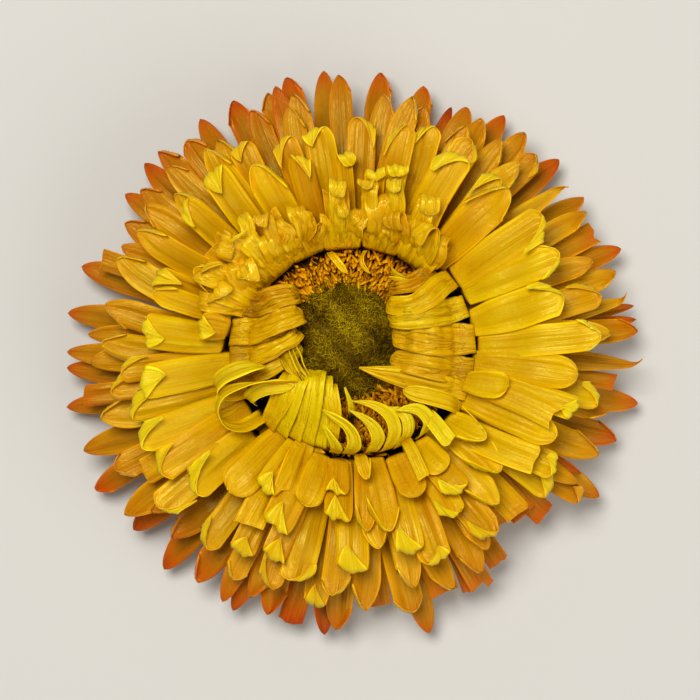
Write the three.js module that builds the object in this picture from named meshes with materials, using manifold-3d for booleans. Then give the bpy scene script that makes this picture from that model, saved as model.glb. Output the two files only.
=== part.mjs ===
// A dried strawflower head, picked and lying face up on its own underside.
// Millimetres, +Z up, origin at the middle of the stem scar on the resting plane.
// Every bract is a papery strip: a claw held by the receptacle and a blade that spreads or curls.

import * as THREE from 'three';
import { mergeVertices } from 'three/addons/utils/BufferGeometryUtils.js';
import Module from 'manifold-3d';

const wasm = await Module();
wasm.setup();

// Driving dimensions
const paper = 0.3; // thickness of a bract
const clearance = 0.35; // between a piece and what carries it
const scarRadius = 3.3; // flat cut of the stem
const receptacleRadius = 12.6;
const receptacleTop = 10; // where the florets stand
const collarRadius = receptacleRadius + clearance; // inner radius of a row's joined claws
const collarWidth = 0.8;
const collarHeight = 0.62;
const hingeRadius = 13.4; // where a blade leaves its claw
const firstHinge = 6.6; // height of the lowest row there
const lastHinge = 15.4; // height of the highest row there
const clawTop = lastHinge + collarHeight / 2 + 0.6; // middle of an inner bract where it leaves the rim
const roundSides = 24; // facets round every turned piece
const bladeSteps = 3; // straight stretches along a long blade
const scaleSteps = 2; // and along a scale

// Blade heights: the lowest row spreads nearly flat, the highest rises, and all droop with length.
const lowSlope = 0.23;
const highSlope = 0.64;
const droop = 0.0142;

// Widths along a bract, most of them as shares of its full width
const widest = 0.62; // how far along it is widest
const tipShare = 0.3;
const lowClaw = 1.2; // width at the claw of the lowest row, mm
const highClawShare = 0.75; // and of the highest row
const innerClawShare = 0.8;
const roomShare = 0.85; // of the room that its neighbours leave
const scaleClawShare = 0.6;
const scaleTipShare = 0.4;
const scaleArch = 0.62; // height of a scale half way along, as a share of its collar's height

// Florets
const discCentre = new THREE.Vector2(-0.7, 2.0); // the olive disc sits off the axis
const discRadius = 8.0;
const discEdge = 13.2;
const discTop = 15.6;
const floretFoot = receptacleTop + clearance;
const floretRing = 12.3; // outer radius of the open florets
const floretTop = 14.7;
const floretEdge = [0.9, 1]; // width and height of the slope at the outer edge of the florets

// Outline of the receptacle's underside and side as [radius, height], from the scar up
const receptacleOutline = [
  [0, 0],
  [scarRadius, 0],
  [6.3, 0.7],
  [9.3, 2.2],
  [11.6, 4.1],
  [receptacleRadius, 6],
  [receptacleRadius, receptacleTop - 0.3],
  [receptacleRadius - 0.6, receptacleTop],
  [0, receptacleTop],
];

// Outline of the disc's dome as [share of its radius, share of its rise]
const domeOutline = [
  [1, 0],
  [0.8, 0.6],
  [0.45, 0.875],
  [0, 1],
];

const finish = {
  gold: { color: '#d99a0c', roughness: 0.5, metalness: 0 },
  orange: { color: '#c8680f', roughness: 0.5, metalness: 0 },
  lemon: { color: '#e8c41c', roughness: 0.45, metalness: 0 },
  husk: { color: '#7a5226', roughness: 0.75, metalness: 0 },
  disc: { color: '#4d4a12', roughness: 0.9, metalness: 0 },
  floret: { color: '#c8741a', roughness: 0.8, metalness: 0 },
};

// Long bracts, row by row from the outermost and lowest to the innermost and highest.
// Each bract is [angle from +X in degrees, reach from the axis, width].
const longRows = [
  {
    finish: finish.orange,
    bracts: [
      [8, 36.2, 2.2], [21.2, 36.6, 3], [34, 35.3, 2.8], [43, 36, 3.2], [57.3, 35.8, 3.2], [68, 33.6, 2],
      [75, 35, 3], [84.5, 35.8, 3], [95.7, 36, 3], [103.6, 35.9, 3], [115, 35.4, 3], [123, 35.4, 3],
      [137.6, 35.7, 3], [145, 35.1, 3], [162.3, 36, 3.4], [172, 36.4, 3.2], [183, 36.2, 3],
      [190.8, 36.9, 2.8], [208, 36.9, 3], [219, 35.7, 3.4], [229, 36.4, 3.4], [245.2, 36, 2.8],
      [257, 35.2, 3], [264.4, 35.9, 3], [275.8, 32.5, 3.2], [285.4, 36.9, 3.2], [296, 33.8, 1.4],
      [305, 32.7, 2.6], [320, 32.2, 3], [329.8, 36.3, 3], [341.6, 35.2, 3.2], [350, 36.9, 3.2],
    ],
  },
  {
    finish: finish.orange,
    bracts: [
      [4.2, 36.1, 3], [26.5, 34.6, 2.6], [52, 35.3, 3], [65, 34.2, 3.2], [107.7, 34.4, 2.6],
      [134, 35.2, 3], [179.8, 36, 2.8], [200, 36.1, 3.4], [236, 34.8, 3.6], [242.5, 35.4, 2.8],
      [252, 34.7, 3.2], [266.5, 35, 3.2], [291, 32.5, 3.2], [299.3, 34.4, 2.8], [310.3, 29, 2.6],
      [316.8, 30, 3.2], [332.2, 32.6, 1.6], [353.5, 33.6, 2.2],
    ],
  },
  {
    finish: finish.orange,
    bracts: [
      [11, 34.1, 2.6], [17, 34.7, 2.8], [31.3, 34.3, 2.6], [46.5, 33.8, 2.8], [61, 33.6, 3],
      [93, 35.1, 2.8], [106, 34.9, 2.8], [112.5, 33, 3], [127.5, 33.8, 3], [142.3, 33.5, 3],
      [150, 32.8, 3], [159.5, 33.9, 2.6], [176, 33.3, 2.6], [189, 34.9, 2.6], [215.3, 35, 3.4],
      [226, 32.5, 3.4], [247, 33.3, 2.6], [283, 33.5, 3.4], [327.8, 34.1, 2.6], [337.3, 33.5, 3.4],
      [347, 32.9, 2.8], [356.5, 35, 2.4],
    ],
  },
  {
    finish: finish.gold,
    bracts: [
      [4.5, 32.5, 3], [21, 32.3, 2.8], [38.3, 32.8, 2.6], [55.5, 32.7, 3], [73.5, 32.1, 3],
      [83, 32.6, 3], [103, 33.2, 3], [135, 32.9, 3], [155, 31.8, 2.8], [182, 32.9, 3.2],
      [194.5, 32.4, 3.8], [206.3, 33, 3.2], [218.5, 32.1, 3], [242, 32, 2.8], [262, 32, 3],
      [273, 32.2, 3.4], [292, 32.2, 3], [300.5, 31.9, 3.2], [316, 29.3, 3.2], [330, 32.6, 2.4],
    ],
  },
  {
    finish: finish.gold,
    bracts: [
      [14, 31.5, 3.4], [49, 31.7, 2.8], [63, 31.7, 3], [77, 32.8, 3], [104.5, 31.7, 3],
      [122.5, 31.3, 3.2], [144.5, 31.6, 3], [160, 31.5, 3.4], [168.5, 31.3, 3.4], [178, 31.3, 3.2],
      [210, 30.8, 3.2], [232.5, 30.2, 3.2], [250.5, 31, 3.2], [265.5, 30.2, 3.2], [285, 30.3, 3],
      [304.5, 29.7, 3], [323.8, 30, 3.2], [349.8, 31.3, 3.2],
    ],
  },
  {
    finish: finish.gold,
    bracts: [
      [60.5, 30.2, 3.4], [71, 29.8, 3], [87.5, 29.2, 3.4], [118, 29.4, 3.2], [126, 31.2, 3],
      [138, 29.5, 3], [150.5, 30.7, 3.2], [189, 30.2, 3.2], [219, 30.7, 3.6], [241.5, 28.7, 3.2],
      [257, 29.3, 4], [308, 28.5, 3.6], [330.8, 29.2, 3.4],
    ],
  },
  {
    finish: finish.gold,
    bracts: [
      [51, 28.3, 3], [77, 28.9, 3], [99.3, 28.3, 3.8], [108.3, 28, 3.2], [127, 28.6, 3.4],
      [138, 28, 3], [158, 26.2, 3], [184.5, 28.8, 3], [195, 28.5, 3.6], [248.5, 27.4, 3.2],
      [270.5, 27.2, 4], [291.8, 28, 4], [314, 26, 3.2],
    ],
  },
  {
    finish: finish.lemon,
    bracts: [
      [5, 30.7, 3.6], [15.3, 26.5, 4.6], [25, 28.3, 4], [34.5, 29, 4.8], [46, 28, 4.4],
      [61.5, 27.9, 4.2], [73.5, 24.2, 4.2], [92.5, 25.7, 3], [105.5, 25.5, 3], [117.5, 26.2, 4],
      [163, 25.7, 2.6], [173.5, 26.2, 4], [189, 26.5, 4.2], [202, 28.3, 3.8], [212.3, 28, 3.8],
      [220.5, 26, 4.2], [239, 25.3, 3.4], [278, 24.3, 3], [285.5, 25.5, 3.4], [302.5, 24, 3.2],
      [321.5, 23.3, 3.8], [330.5, 26.5, 3.6], [337.5, 27.2, 3.6], [345, 28.8, 3], [354.5, 28, 3.8],
    ],
  },
  {
    finish: finish.lemon,
    bracts: [
      [62, 21.5, 3.2], [83.5, 23, 3], [122.5, 20.5, 3.2], [142.5, 22.3, 3.4], [151.5, 22, 3.4],
      [228, 22.8, 4.6], [246, 23.7, 4], [265.8, 20.9, 3.4], [274.5, 22, 2.4], [281.5, 22.5, 3.6],
      [308, 21.7, 3.4], [341.5, 26.9, 3],
    ],
  },
  {
    finish: finish.lemon,
    bracts: [
      [96, 20.5, 3], [111, 18.5, 3], [134, 18.5, 3], [155, 18.5, 3], [170, 19, 3.4],
      [237.5, 19.8, 3.2], [244.8, 19, 3.2], [252.5, 19.6, 3.6], [264, 17.5, 3], [294.5, 19.5, 3.6],
      [308.5, 18.5, 3.4], [328, 19, 3], [348.5, 19.5, 3.4],
    ],
  },
];

// Inner bracts, each on its own. A spine runs from the claw to the tip as [x, y, z] points.
const innerBracts = {
  left_inner_bract: {
    finish: finish.gold,
    bracts: [
      { width: 2.4, spine: [[-12.5, 4.9, clawTop], [-10.4, 6.2, 18], [-7.5, 7.1, 17.2]] },
      { width: 3, spine: [[-13.1, 2.5, clawTop], [-10.9, 3.2, 19.4], [-6.7, 4.5, 17.8]] },
      { width: 2.6, spine: [[-13.4, -0.4, clawTop], [-11, 0.3, 18.1], [-7.2, 2, 17]] },
      { width: 1.6, spine: [[-13.1, -2.6, clawTop], [-10.8, -2.2, 17.2], [-7.4, -0.1, 16.4]] },
    ],
  },
  right_inner_bract: {
    finish: finish.gold,
    bracts: [
      { width: 2.2, spine: [[9.4, 9.6, clawTop], [7.3, 8.7, 17.6], [4.9, 7.6, 16.6]] },
      { width: 2.4, spine: [[10.8, 7.9, clawTop], [9.4, 6.9, 18], [7.3, 5.9, 17.6], [4.8, 6.1, 16.8]] },
      { width: 2.6, spine: [[12.4, 5.1, clawTop], [9.6, 4.8, 19.4], [4.9, 4.2, 17.8]] },
      { width: 3.2, spine: [[13.3, 1.6, clawTop], [11.4, 1.6, 18.9], [7.8, 1.9, 18], [5, 2.2, 16.9]] },
      { width: 2.6, spine: [[13.2, -1.8, clawTop], [10.9, -1.7, 18.4], [7.3, -1, 17.8], [4.9, -1, 16.7]] },
      {
        width: 1.6,
        spine: [
          [12.8, -4.1, clawTop], [10.5, -3.9, 17.2], [6.4, -3.1, 16.6], [0.9, -1.7, 16.3],
        ],
      },
      { width: 1.8, spine: [[12, -5.9, clawTop], [10.8, -5.6, 17.9], [9, -5, 18.4], [6.7, -4.6, 17.8]] },
      { width: 2, spine: [[10.1, -8.8, clawTop], [11.2, -9.9, 18.3], [12.1, -10.8, 19]] },
    ],
  },
  fan_bract: {
    finish: finish.lemon,
    bracts: [
      { width: 1.4, spine: [[-10.1, -8.8, clawTop], [-9.2, -6.8, 18.1], [-8, -4.3, 18.3]] },
      { width: 1.4, spine: [[-8.7, -10.2, clawTop], [-7.9, -6.8, 19], [-6.8, -3.8, 18.8]] },
      { width: 1.4, spine: [[-7.1, -11.3, clawTop], [-6.4, -6.8, 18.1], [-5.8, -3.4, 17.8]] },
      { width: 1.4, spine: [[-5.5, -12.2, clawTop], [-5.1, -6.8, 19], [-4.8, -3.4, 18.7]] },
      { width: 1.4, spine: [[-4.1, -12.7, clawTop], [-3.8, -6.8, 18.1], [-3.9, -3.8, 17.6]] },
      { width: 1.4, spine: [[-2.7, -13.1, clawTop], [-2.5, -7.5, 18.8], [-3.1, -4.9, 18.4]] },
    ],
  },
  curled_bract: {
    finish: finish.lemon,
    bracts: [
      {
        width: 1.8,
        spine: [
          [-12.6, -4.4, clawTop], [-15.4, -4.8, 17.9], [-16.9, -4.3, 19.3], [-15.9, -2.6, 20.3],
          [-13.2, -1.8, 20.6], [-10.8, -1.7, 20.1],
        ],
      },
      {
        width: 2,
        spine: [
          [-11.1, -7.5, clawTop], [-13.6, -9, 17.8], [-15.9, -8.6, 18.8], [-16.8, -6.8, 19.6],
          [-15.8, -5, 20.3], [-13.2, -4.1, 20.9], [-10, -3.6, 20.7], [-7, -3.4, 20.1],
        ],
      },
      {
        width: 1.2,
        spine: [
          [-12, -6, clawTop], [-12.7, -5.4, 18], [-11.6, -4.5, 19.2], [-9.6, -4.1, 19.6],
          [-7.4, -3.9, 19.5],
        ],
      },
    ],
  },
  hooked_bract: {
    finish: finish.lemon,
    bracts: [
      {
        width: 1.4,
        spine: [
          [-0.1, -13.4, clawTop], [-0.1, -11.2, 18.4], [-0.9, -9.3, 19.4], [-3.6, -7.1, 19.7],
        ],
      },
      {
        width: 1.2,
        spine: [
          [-1.4, -13.3, clawTop], [-2, -12.1, 18.2], [-2.4, -10.8, 19.1], [-3.6, -9.2, 19.6],
        ],
      },
      { width: 0.7, spine: [[-0.3, -9.8, 15.2], [-0.1, -6.6, 17], [-0.9, -4.2, 17.6]] },
      {
        width: 1.4,
        spine: [
          [2.6, -13.1, clawTop], [3.3, -10.6, 18.2], [2.2, -8.9, 18.9], [-0.2, -7.3, 18.6],
        ],
      },
      {
        width: 1.4,
        spine: [
          [4.2, -12.7, clawTop], [5.1, -10.2, 18.4], [4.5, -7.8, 19.2], [2.6, -6.3, 19.2],
          [0.1, -6.1, 18.8],
        ],
      },
      { width: 1.5, spine: [[5.5, -12.2, clawTop], [6.6, -9.6, 17.8], [6.2, -7.6, 18], [3.7, -6.8, 17.8]] },
      { width: 1.7, spine: [[8.4, -10.4, clawTop], [9, -8.5, 18.1], [8, -6.9, 18.8], [5.4, -7.1, 19.1]] },
    ],
  },
  short_bract: {
    finish: finish.lemon,
    bracts: [
      { width: 1.2, spine: [[1.3, -13.3, clawTop], [1.6, -14.6, 17.7], [1.8, -16, 18.1]] },
      { width: 1.2, spine: [[7.1, -11.4, clawTop], [8.2, -13.6, 18.3], [9, -15.8, 19.6]] },
    ],
  },
  crumpled_bract: {
    finish: finish.gold,
    bracts: [
      { width: 3.2, spine: [[7.1, 11.4, clawTop], [9.4, 14, 19.2], [11.5, 16.6, 20.8]] },
      { width: 3.4, spine: [[3.6, 12.9, clawTop], [4.5, 16.6, 19.4], [5.2, 20, 20.9]] },
      { width: 3, spine: [[-1, 13.3, clawTop], [-1.2, 15.8, 19], [-1.3, 18, 20.3]] },
      { width: 3.4, spine: [[-5.4, 12.3, clawTop], [-6.7, 15.2, 19.2], [-7.8, 17.8, 20.7]] },
      { width: 3.6, spine: [[-8.4, 10.4, clawTop], [-10.7, 12.9, 19.2], [-12.8, 15.3, 20.8]] },
      { width: 3.6, spine: [[-11, 7.6, clawTop], [-14, 9.6, 19.2], [-16.8, 11.4, 20.7]] },
    ],
  },
};

// Short brown scales under the head, from the scar outward. Every tip comes down to the resting plane.
const scaleRows = [
  { name: 'scale_row_inner', count: 10, turn: 0, collar: [8.2, 1], reach: 11.8, width: 2.6 },
  { name: 'scale_row_middle', count: 12, turn: 9, collar: [10.5, 2.5], reach: 14.8, width: 3 },
  { name: 'scale_row_outer', count: 14, turn: 4, collar: [12.3, 4.2], reach: 17.6, width: 3.2 },
];

const head = new THREE.Group();

function addMesh(name, geometry, look) {
  const mesh = new THREE.Mesh(geometry, new THREE.MeshStandardMaterial(look));
  mesh.name = name;
  geometry.computeVertexNormals();
  head.add(mesh);
  return mesh;
}

// Keeps only the corners of a geometry, each shared by its faces.
function closed(geometry) {
  geometry.deleteAttribute('normal');
  geometry.deleteAttribute('uv');
  return mergeVertices(geometry);
}

function asManifold(geometry) {
  return new wasm.Manifold(
    new wasm.Mesh({
      numProp: 3,
      vertProperties: new Float32Array(geometry.getAttribute('position').array),
      triVerts: new Uint32Array(geometry.index.array),
    }),
  );
}

function asGeometry(manifold) {
  const mesh = manifold.getMesh();
  const geometry = new THREE.BufferGeometry();
  geometry.setAttribute('position', new THREE.BufferAttribute(mesh.vertProperties, 3));
  geometry.setIndex(new THREE.BufferAttribute(mesh.triVerts, 1));
  return geometry;
}

// A turned solid from its [radius, height] outline, listed from the bottom up, outside first.
function turned(outline) {
  const points = outline.map(([radius, height]) => new THREE.Vector2(radius, height));
  const geometry = new THREE.LatheGeometry(points, roundSides);
  geometry.rotateX(Math.PI / 2);
  return closed(geometry);
}

// The ring of joined claws that carries a row, centred on a radius and height.
function collar(innerRadius, height) {
  const outerRadius = innerRadius + collarWidth;
  const low = height - collarHeight / 2;
  const high = height + collarHeight / 2;
  return turned([
    [innerRadius, low],
    [outerRadius, low],
    [outerRadius, high],
    [innerRadius, high],
    [innerRadius, low],
  ]);
}

// A strip of paper along a curve. widthAt gives its width at t, from 0 at the claw to 1 at the tip.
function strip(curve, widthAt, steps) {
  const geometry = closed(new THREE.BoxGeometry(1, 1, 1, 1, 1, steps));
  const corners = geometry.getAttribute('position');
  const up = new THREE.Vector3(0, 0, 1);
  const corner = new THREE.Vector3();
  for (let i = 0; i < corners.count; i += 1) {
    corner.fromBufferAttribute(corners, i);
    const t = corner.z + 0.5;
    const along = curve.getTangent(t);
    const across = new THREE.Vector3().crossVectors(up, along).normalize();
    const through = new THREE.Vector3().crossVectors(along, across);
    const place = curve
      .getPoint(t)
      .addScaledVector(across, corner.x * widthAt(t))
      .addScaledVector(through, corner.y * paper);
    corners.setXYZ(i, place.x, place.y, place.z);
  }
  return geometry;
}

// Width along a bract: narrow at the claw, full past the middle, drawn in at the tip.
function bractWidth(claw, full, tip) {
  return (t) => {
    if (t < widest) return THREE.MathUtils.lerp(claw, full, Math.sin((t / widest) * (Math.PI / 2)));
    const rest = (t - widest) / (1 - widest);
    return tip + (full - tip) * Math.sqrt(1 - rest * rest);
  };
}

// Height of a row's blades at a radius. level is 0 for the lowest row and 1 for the highest.
function bladeHeight(level, radius) {
  const out = radius - hingeRadius;
  const hinge = THREE.MathUtils.lerp(firstHinge, lastHinge, level);
  const slope = THREE.MathUtils.lerp(lowSlope, highSlope, level);
  return hinge + slope * out - droop * out * out;
}

// The narrower angle, in radians, from a bract to its neighbours in the row.
function roomBeside(bracts, i) {
  const after = bracts[(i + 1) % bracts.length][0] - bracts[i][0];
  const before = bracts[i][0] - bracts[(i + bracts.length - 1) % bracts.length][0];
  const turn = (degrees) => THREE.MathUtils.degToRad((degrees + 360) % 360);
  return Math.min(turn(after), turn(before));
}

function longRow(row, i) {
  const level = i / (longRows.length - 1);
  const { degToRad, lerp } = THREE.MathUtils;
  let solid = asManifold(collar(collarRadius, bladeHeight(level, hingeRadius)));
  row.bracts.forEach(([angle, reach, width], n) => {
    const direction = new THREE.Vector3(Math.cos(degToRad(angle)), Math.sin(degToRad(angle)), 0);
    const place = (radius) => direction.clone().multiplyScalar(radius).setZ(bladeHeight(level, radius));
    const stations = [0, 0.25, 0.5, 0.75, 1].map((s) => place(lerp(hingeRadius, reach, s)));
    const room = roomBeside(row.bracts, n);
    const profile = bractWidth(lerp(lowClaw, highClawShare * width, level), width, tipShare * width);
    const widthAt = (t) => Math.min(profile(t), roomShare * room * lerp(hingeRadius, reach, t));
    solid = solid.add(asManifold(strip(new THREE.CatmullRomCurve3(stations), widthAt, bladeSteps)));
  });
  addMesh(`bract_row_${String(i + 1).padStart(2, '0')}`, asGeometry(solid), row.finish);
}

function scaleRow({ name, count, turn, collar: [radius, height], reach, width }) {
  let solid = asManifold(collar(radius, height));
  const start = radius + collarWidth / 2;
  for (let n = 0; n < count; n += 1) {
    const angle = THREE.MathUtils.degToRad(turn + (n * 360) / count);
    const direction = new THREE.Vector3(Math.cos(angle), Math.sin(angle), 0);
    const place = (r, z) => direction.clone().multiplyScalar(r).setZ(z);
    const spine = new THREE.CatmullRomCurve3([
      place(start, height),
      place((start + reach) / 2, scaleArch * height),
      place(reach, paper / 2),
    ]);
    const widthAt = bractWidth(scaleClawShare * width, width, scaleTipShare * width);
    solid = solid.add(asManifold(strip(spine, widthAt, scaleSteps)));
  }
  addMesh(name, asGeometry(solid), finish.husk);
}

function innerBract(name, { width, spine }, look) {
  const curve = new THREE.CatmullRomCurve3(spine.map((point) => new THREE.Vector3(...point)));
  const steps = 2 * (spine.length - 1) + 1;
  const widthAt = bractWidth(innerClawShare * width, width, tipShare * width);
  addMesh(name, strip(curve, widthAt, steps), look);
}

// The receptacle: a solid bowl with the flat scar under it.
function receptacle() {
  addMesh('receptacle', turned(receptacleOutline), finish.husk);
}

// The closed florets: a low dome.
function closedFlorets() {
  const rise = discTop - discEdge;
  const dome = turned([
    [0, floretFoot],
    [discRadius, floretFoot],
    ...domeOutline.map(([across, up]) => [across * discRadius, discEdge + up * rise]),
  ]);
  addMesh('closed_florets', dome, finish.disc).position.set(discCentre.x, discCentre.y, 0);
}

// The open florets: a ring round the disc, wider on the side that the disc leaves free.
function openFlorets() {
  const [edgeWidth, edgeHeight] = floretEdge;
  const bed = turned([
    [0, floretFoot],
    [floretRing, floretFoot],
    [floretRing, floretTop - edgeHeight],
    [floretRing - edgeWidth, floretTop],
    [0, floretTop],
  ]);
  const seatRadius = discRadius + clearance;
  const seat = turned([[0, 0], [seatRadius, 0], [seatRadius, lastHinge], [0, lastHinge]]);
  seat.translate(discCentre.x, discCentre.y, 0);
  addMesh('open_florets', asGeometry(asManifold(bed).subtract(asManifold(seat))), finish.floret);
}

receptacle();
closedFlorets();
openFlorets();
scaleRows.forEach(scaleRow);
longRows.forEach(longRow);
for (const [family, { finish: look, bracts }] of Object.entries(innerBracts)) {
  bracts.forEach((bract, n) => innerBract(`${family}_${n + 1}`, bract, look));
}

export default head;
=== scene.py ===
import bpy
import math
import numpy as np
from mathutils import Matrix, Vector


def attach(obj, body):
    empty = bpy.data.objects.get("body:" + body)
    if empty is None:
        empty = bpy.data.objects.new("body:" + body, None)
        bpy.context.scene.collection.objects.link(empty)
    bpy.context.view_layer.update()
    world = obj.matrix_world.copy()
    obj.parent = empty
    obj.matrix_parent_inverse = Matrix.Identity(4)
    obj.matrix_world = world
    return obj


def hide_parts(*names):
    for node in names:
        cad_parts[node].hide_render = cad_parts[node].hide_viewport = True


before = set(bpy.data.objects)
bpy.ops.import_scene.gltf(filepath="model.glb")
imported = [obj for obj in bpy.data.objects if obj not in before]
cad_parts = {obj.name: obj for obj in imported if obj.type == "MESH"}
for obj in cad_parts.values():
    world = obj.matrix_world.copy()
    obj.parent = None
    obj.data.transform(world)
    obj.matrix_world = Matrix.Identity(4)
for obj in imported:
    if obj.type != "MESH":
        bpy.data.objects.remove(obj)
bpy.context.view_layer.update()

mm = 0.001
up = np.array([0.0, 0.0, 1.0])


# Camera: straight down on the flower, with a long lens as a macro photograph has
view = {"centre": (-0.25, 0.375), "width": 87.5, "focusHeight": 12.0, "lens": 200.0, "sensor": 36.0}


def linkToScene(item):
    bpy.context.scene.collection.objects.link(item)
    return item


def addCamera():
    camera = linkToScene(bpy.data.objects.new("camera", bpy.data.cameras.new("camera")))
    camera.data.lens = view["lens"]
    camera.data.sensor_width = view["sensor"]
    distance = view["width"] * view["lens"] / view["sensor"]
    x, y = view["centre"]
    camera.location = (x * mm, y * mm, (view["focusHeight"] + distance) * mm)
    camera.data.clip_start = 0.01
    bpy.context.scene.camera = camera


addCamera()


# Studio: one large softbox above the top left corner, a weak fill opposite, a pale floor. Metres and watts.
studio = {
    "keyPlace": (-0.09, 0.13, 0.54), "keySize": 0.22, "keyPower": 2.35,
    "fillPlace": (0.34, -0.26, 0.34), "fillSize": 0.5, "fillPower": 0.95,
    "worldStrength": 0.19, "floorColour": "#dcd8cf", "floorSize": 3.0,
}


def toLinear(code):  # sRGB hex to the linear colour that shaders take
    values = [int(code[i:i + 2], 16) / 255 for i in (1, 3, 5)]
    linear = [v / 12.92 if v <= 0.04045 else ((v + 0.055) / 1.055) ** 2.4 for v in values]
    return (*linear, 1.0)


# Inputs go by order or by name, and a socket among them is linked. What comes back is the output socket.
def addNode(tree, kind, inputs=(), output=0, stops=(), **settings):
    node = tree.nodes.new("ShaderNode" + kind)
    for key, value in settings.items():
        setattr(node, key, value)
    for key, value in inputs.items() if isinstance(inputs, dict) else enumerate(inputs):
        if isinstance(value, bpy.types.NodeSocket):
            tree.links.new(value, node.inputs[key])
        else:
            node.inputs[key].default_value = value
    for i, (place, code) in enumerate(stops):
        element = node.color_ramp.elements[i] if i < 2 else node.color_ramp.elements.new(place)
        element.position = place
        element.color = toLinear(code)
    return node.outputs if output == "all" else node.outputs[output] if node.outputs else node


def addLight(name, place, size, power):
    light = linkToScene(bpy.data.objects.new(name, bpy.data.lights.new(name, "AREA")))
    light.data.shape = "DISK"
    light.data.size = size
    light.data.energy = power
    light.location = place
    light.rotation_euler = (Vector((0, 0, 0.01)) - light.location).to_track_quat("-Z", "Y").to_euler()


def newMaterial(name):
    material = bpy.data.materials.new(name)
    material.use_nodes = True
    material.node_tree.nodes.clear()
    return material, material.node_tree


def addFloor():
    bpy.ops.object.select_all(action="DESELECT")
    bpy.ops.mesh.primitive_plane_add(size=studio["floorSize"], location=(0, 0, 0))
    floor = bpy.context.object
    floor.name = "floor"
    material, tree = newMaterial("matt painted board")
    place = addNode(tree, "TexCoord", output="Object")
    grain = addNode(tree, "TexNoise", {"Vector": place, "Scale": 60.0, "Detail": 4.0})
    bump = addNode(tree, "Bump", {"Strength": 0.05, "Distance": 0.0005, "Height": grain})
    board = addNode(tree, "BsdfPrincipled", {
        "Base Color": toLinear(studio["floorColour"]), "Roughness": 0.85, "Normal": bump})
    addNode(tree, "OutputMaterial", {"Surface": board})
    floor.data.materials.append(material)


def addStudio():
    addLight("key softbox", studio["keyPlace"], studio["keySize"], studio["keyPower"])
    addLight("fill softbox", studio["fillPlace"], studio["fillSize"], studio["fillPower"])
    world = bpy.data.worlds.new("studio")
    world.use_nodes = True
    sky = world.node_tree.nodes["Background"]
    sky.inputs["Color"].default_value = (1, 1, 1, 1)
    sky.inputs["Strength"].default_value = studio["worldStrength"]
    bpy.context.scene.world = world
    bpy.context.scene.view_settings.view_transform = "Standard"


addStudio()
addFloor()
print("camera, lights and floor done")


# Bract paper: dried tissue a tenth of a millimetre thick, stiff and glossy. It lets a little light through
# and has fine ribs along it. Old bracts are redder towards the tip and darker olive in the heart, partly
# their own colour and partly painted shade, and dry ones have brown streaks.
paperStops = {  # colours by tone, from a fresh lemon bract at 0 to the dark red tip of an old one at 1
    "face": [(0.00, "#f7dc04"), (0.20, "#f0c200"), (0.42, "#dc9800"), (0.60, "#c47400"), (0.78, "#cc5602"),
             (1.00, "#a62c04")],
    "reverse": [(0.00, "#fbe41e"), (0.20, "#f6d60e"), (0.42, "#efc206"), (0.60, "#eea808"), (0.78, "#e6800c"),
                (1.00, "#b8420c")],
    "crushed": [(0.00, "#fbd808"), (0.20, "#f6c204"), (0.42, "#eaa602"), (0.60, "#d68400"), (0.78, "#c66402"),
                (1.00, "#a62c04")],
}
paper = {
    "clawColour": "#865008", "gapShadeColour": "#140c03", "oliveShadeColour": "#986600", "shineColour": "#fff27a",
    "rimGain": 1.45, "fibreTone": 0.50, "cloudTone": 0.24, "oliveShadeShare": 0.16, "oliveShadeByBlush": 4.0,
    "subsurface": 0.12, "scatterDepth": 0.4, "bumpDepth": 0.12, "ior": 1.45,
}
# Waves across and along a bract of 3.4 mm by 20 mm, then detail, roughness and distortion.
paperNoises = {
    "fibres": (26.0, 1.6, 4.0, 0.6, 0.0),  # 0.13 mm fibres
    "ribs": (11.0, 0.5, 1.0, 0.4, 0.0),  # 0.3 mm ribs
    "clouds": (2.0, 6.0, 3.0, 0.55, 0.0),  # blotches about 2 to 3 mm across
    "wrinkles": (5.0, 18.0, 2.0, 0.6, 0.8),  # 1 mm wrinkles across the bract
    "lines": (4.0, 2.4, 3.0, 0.5, 0.5),  # crease lines, darkened as painted shade and dented, where this noise passes through its middle
}


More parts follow.
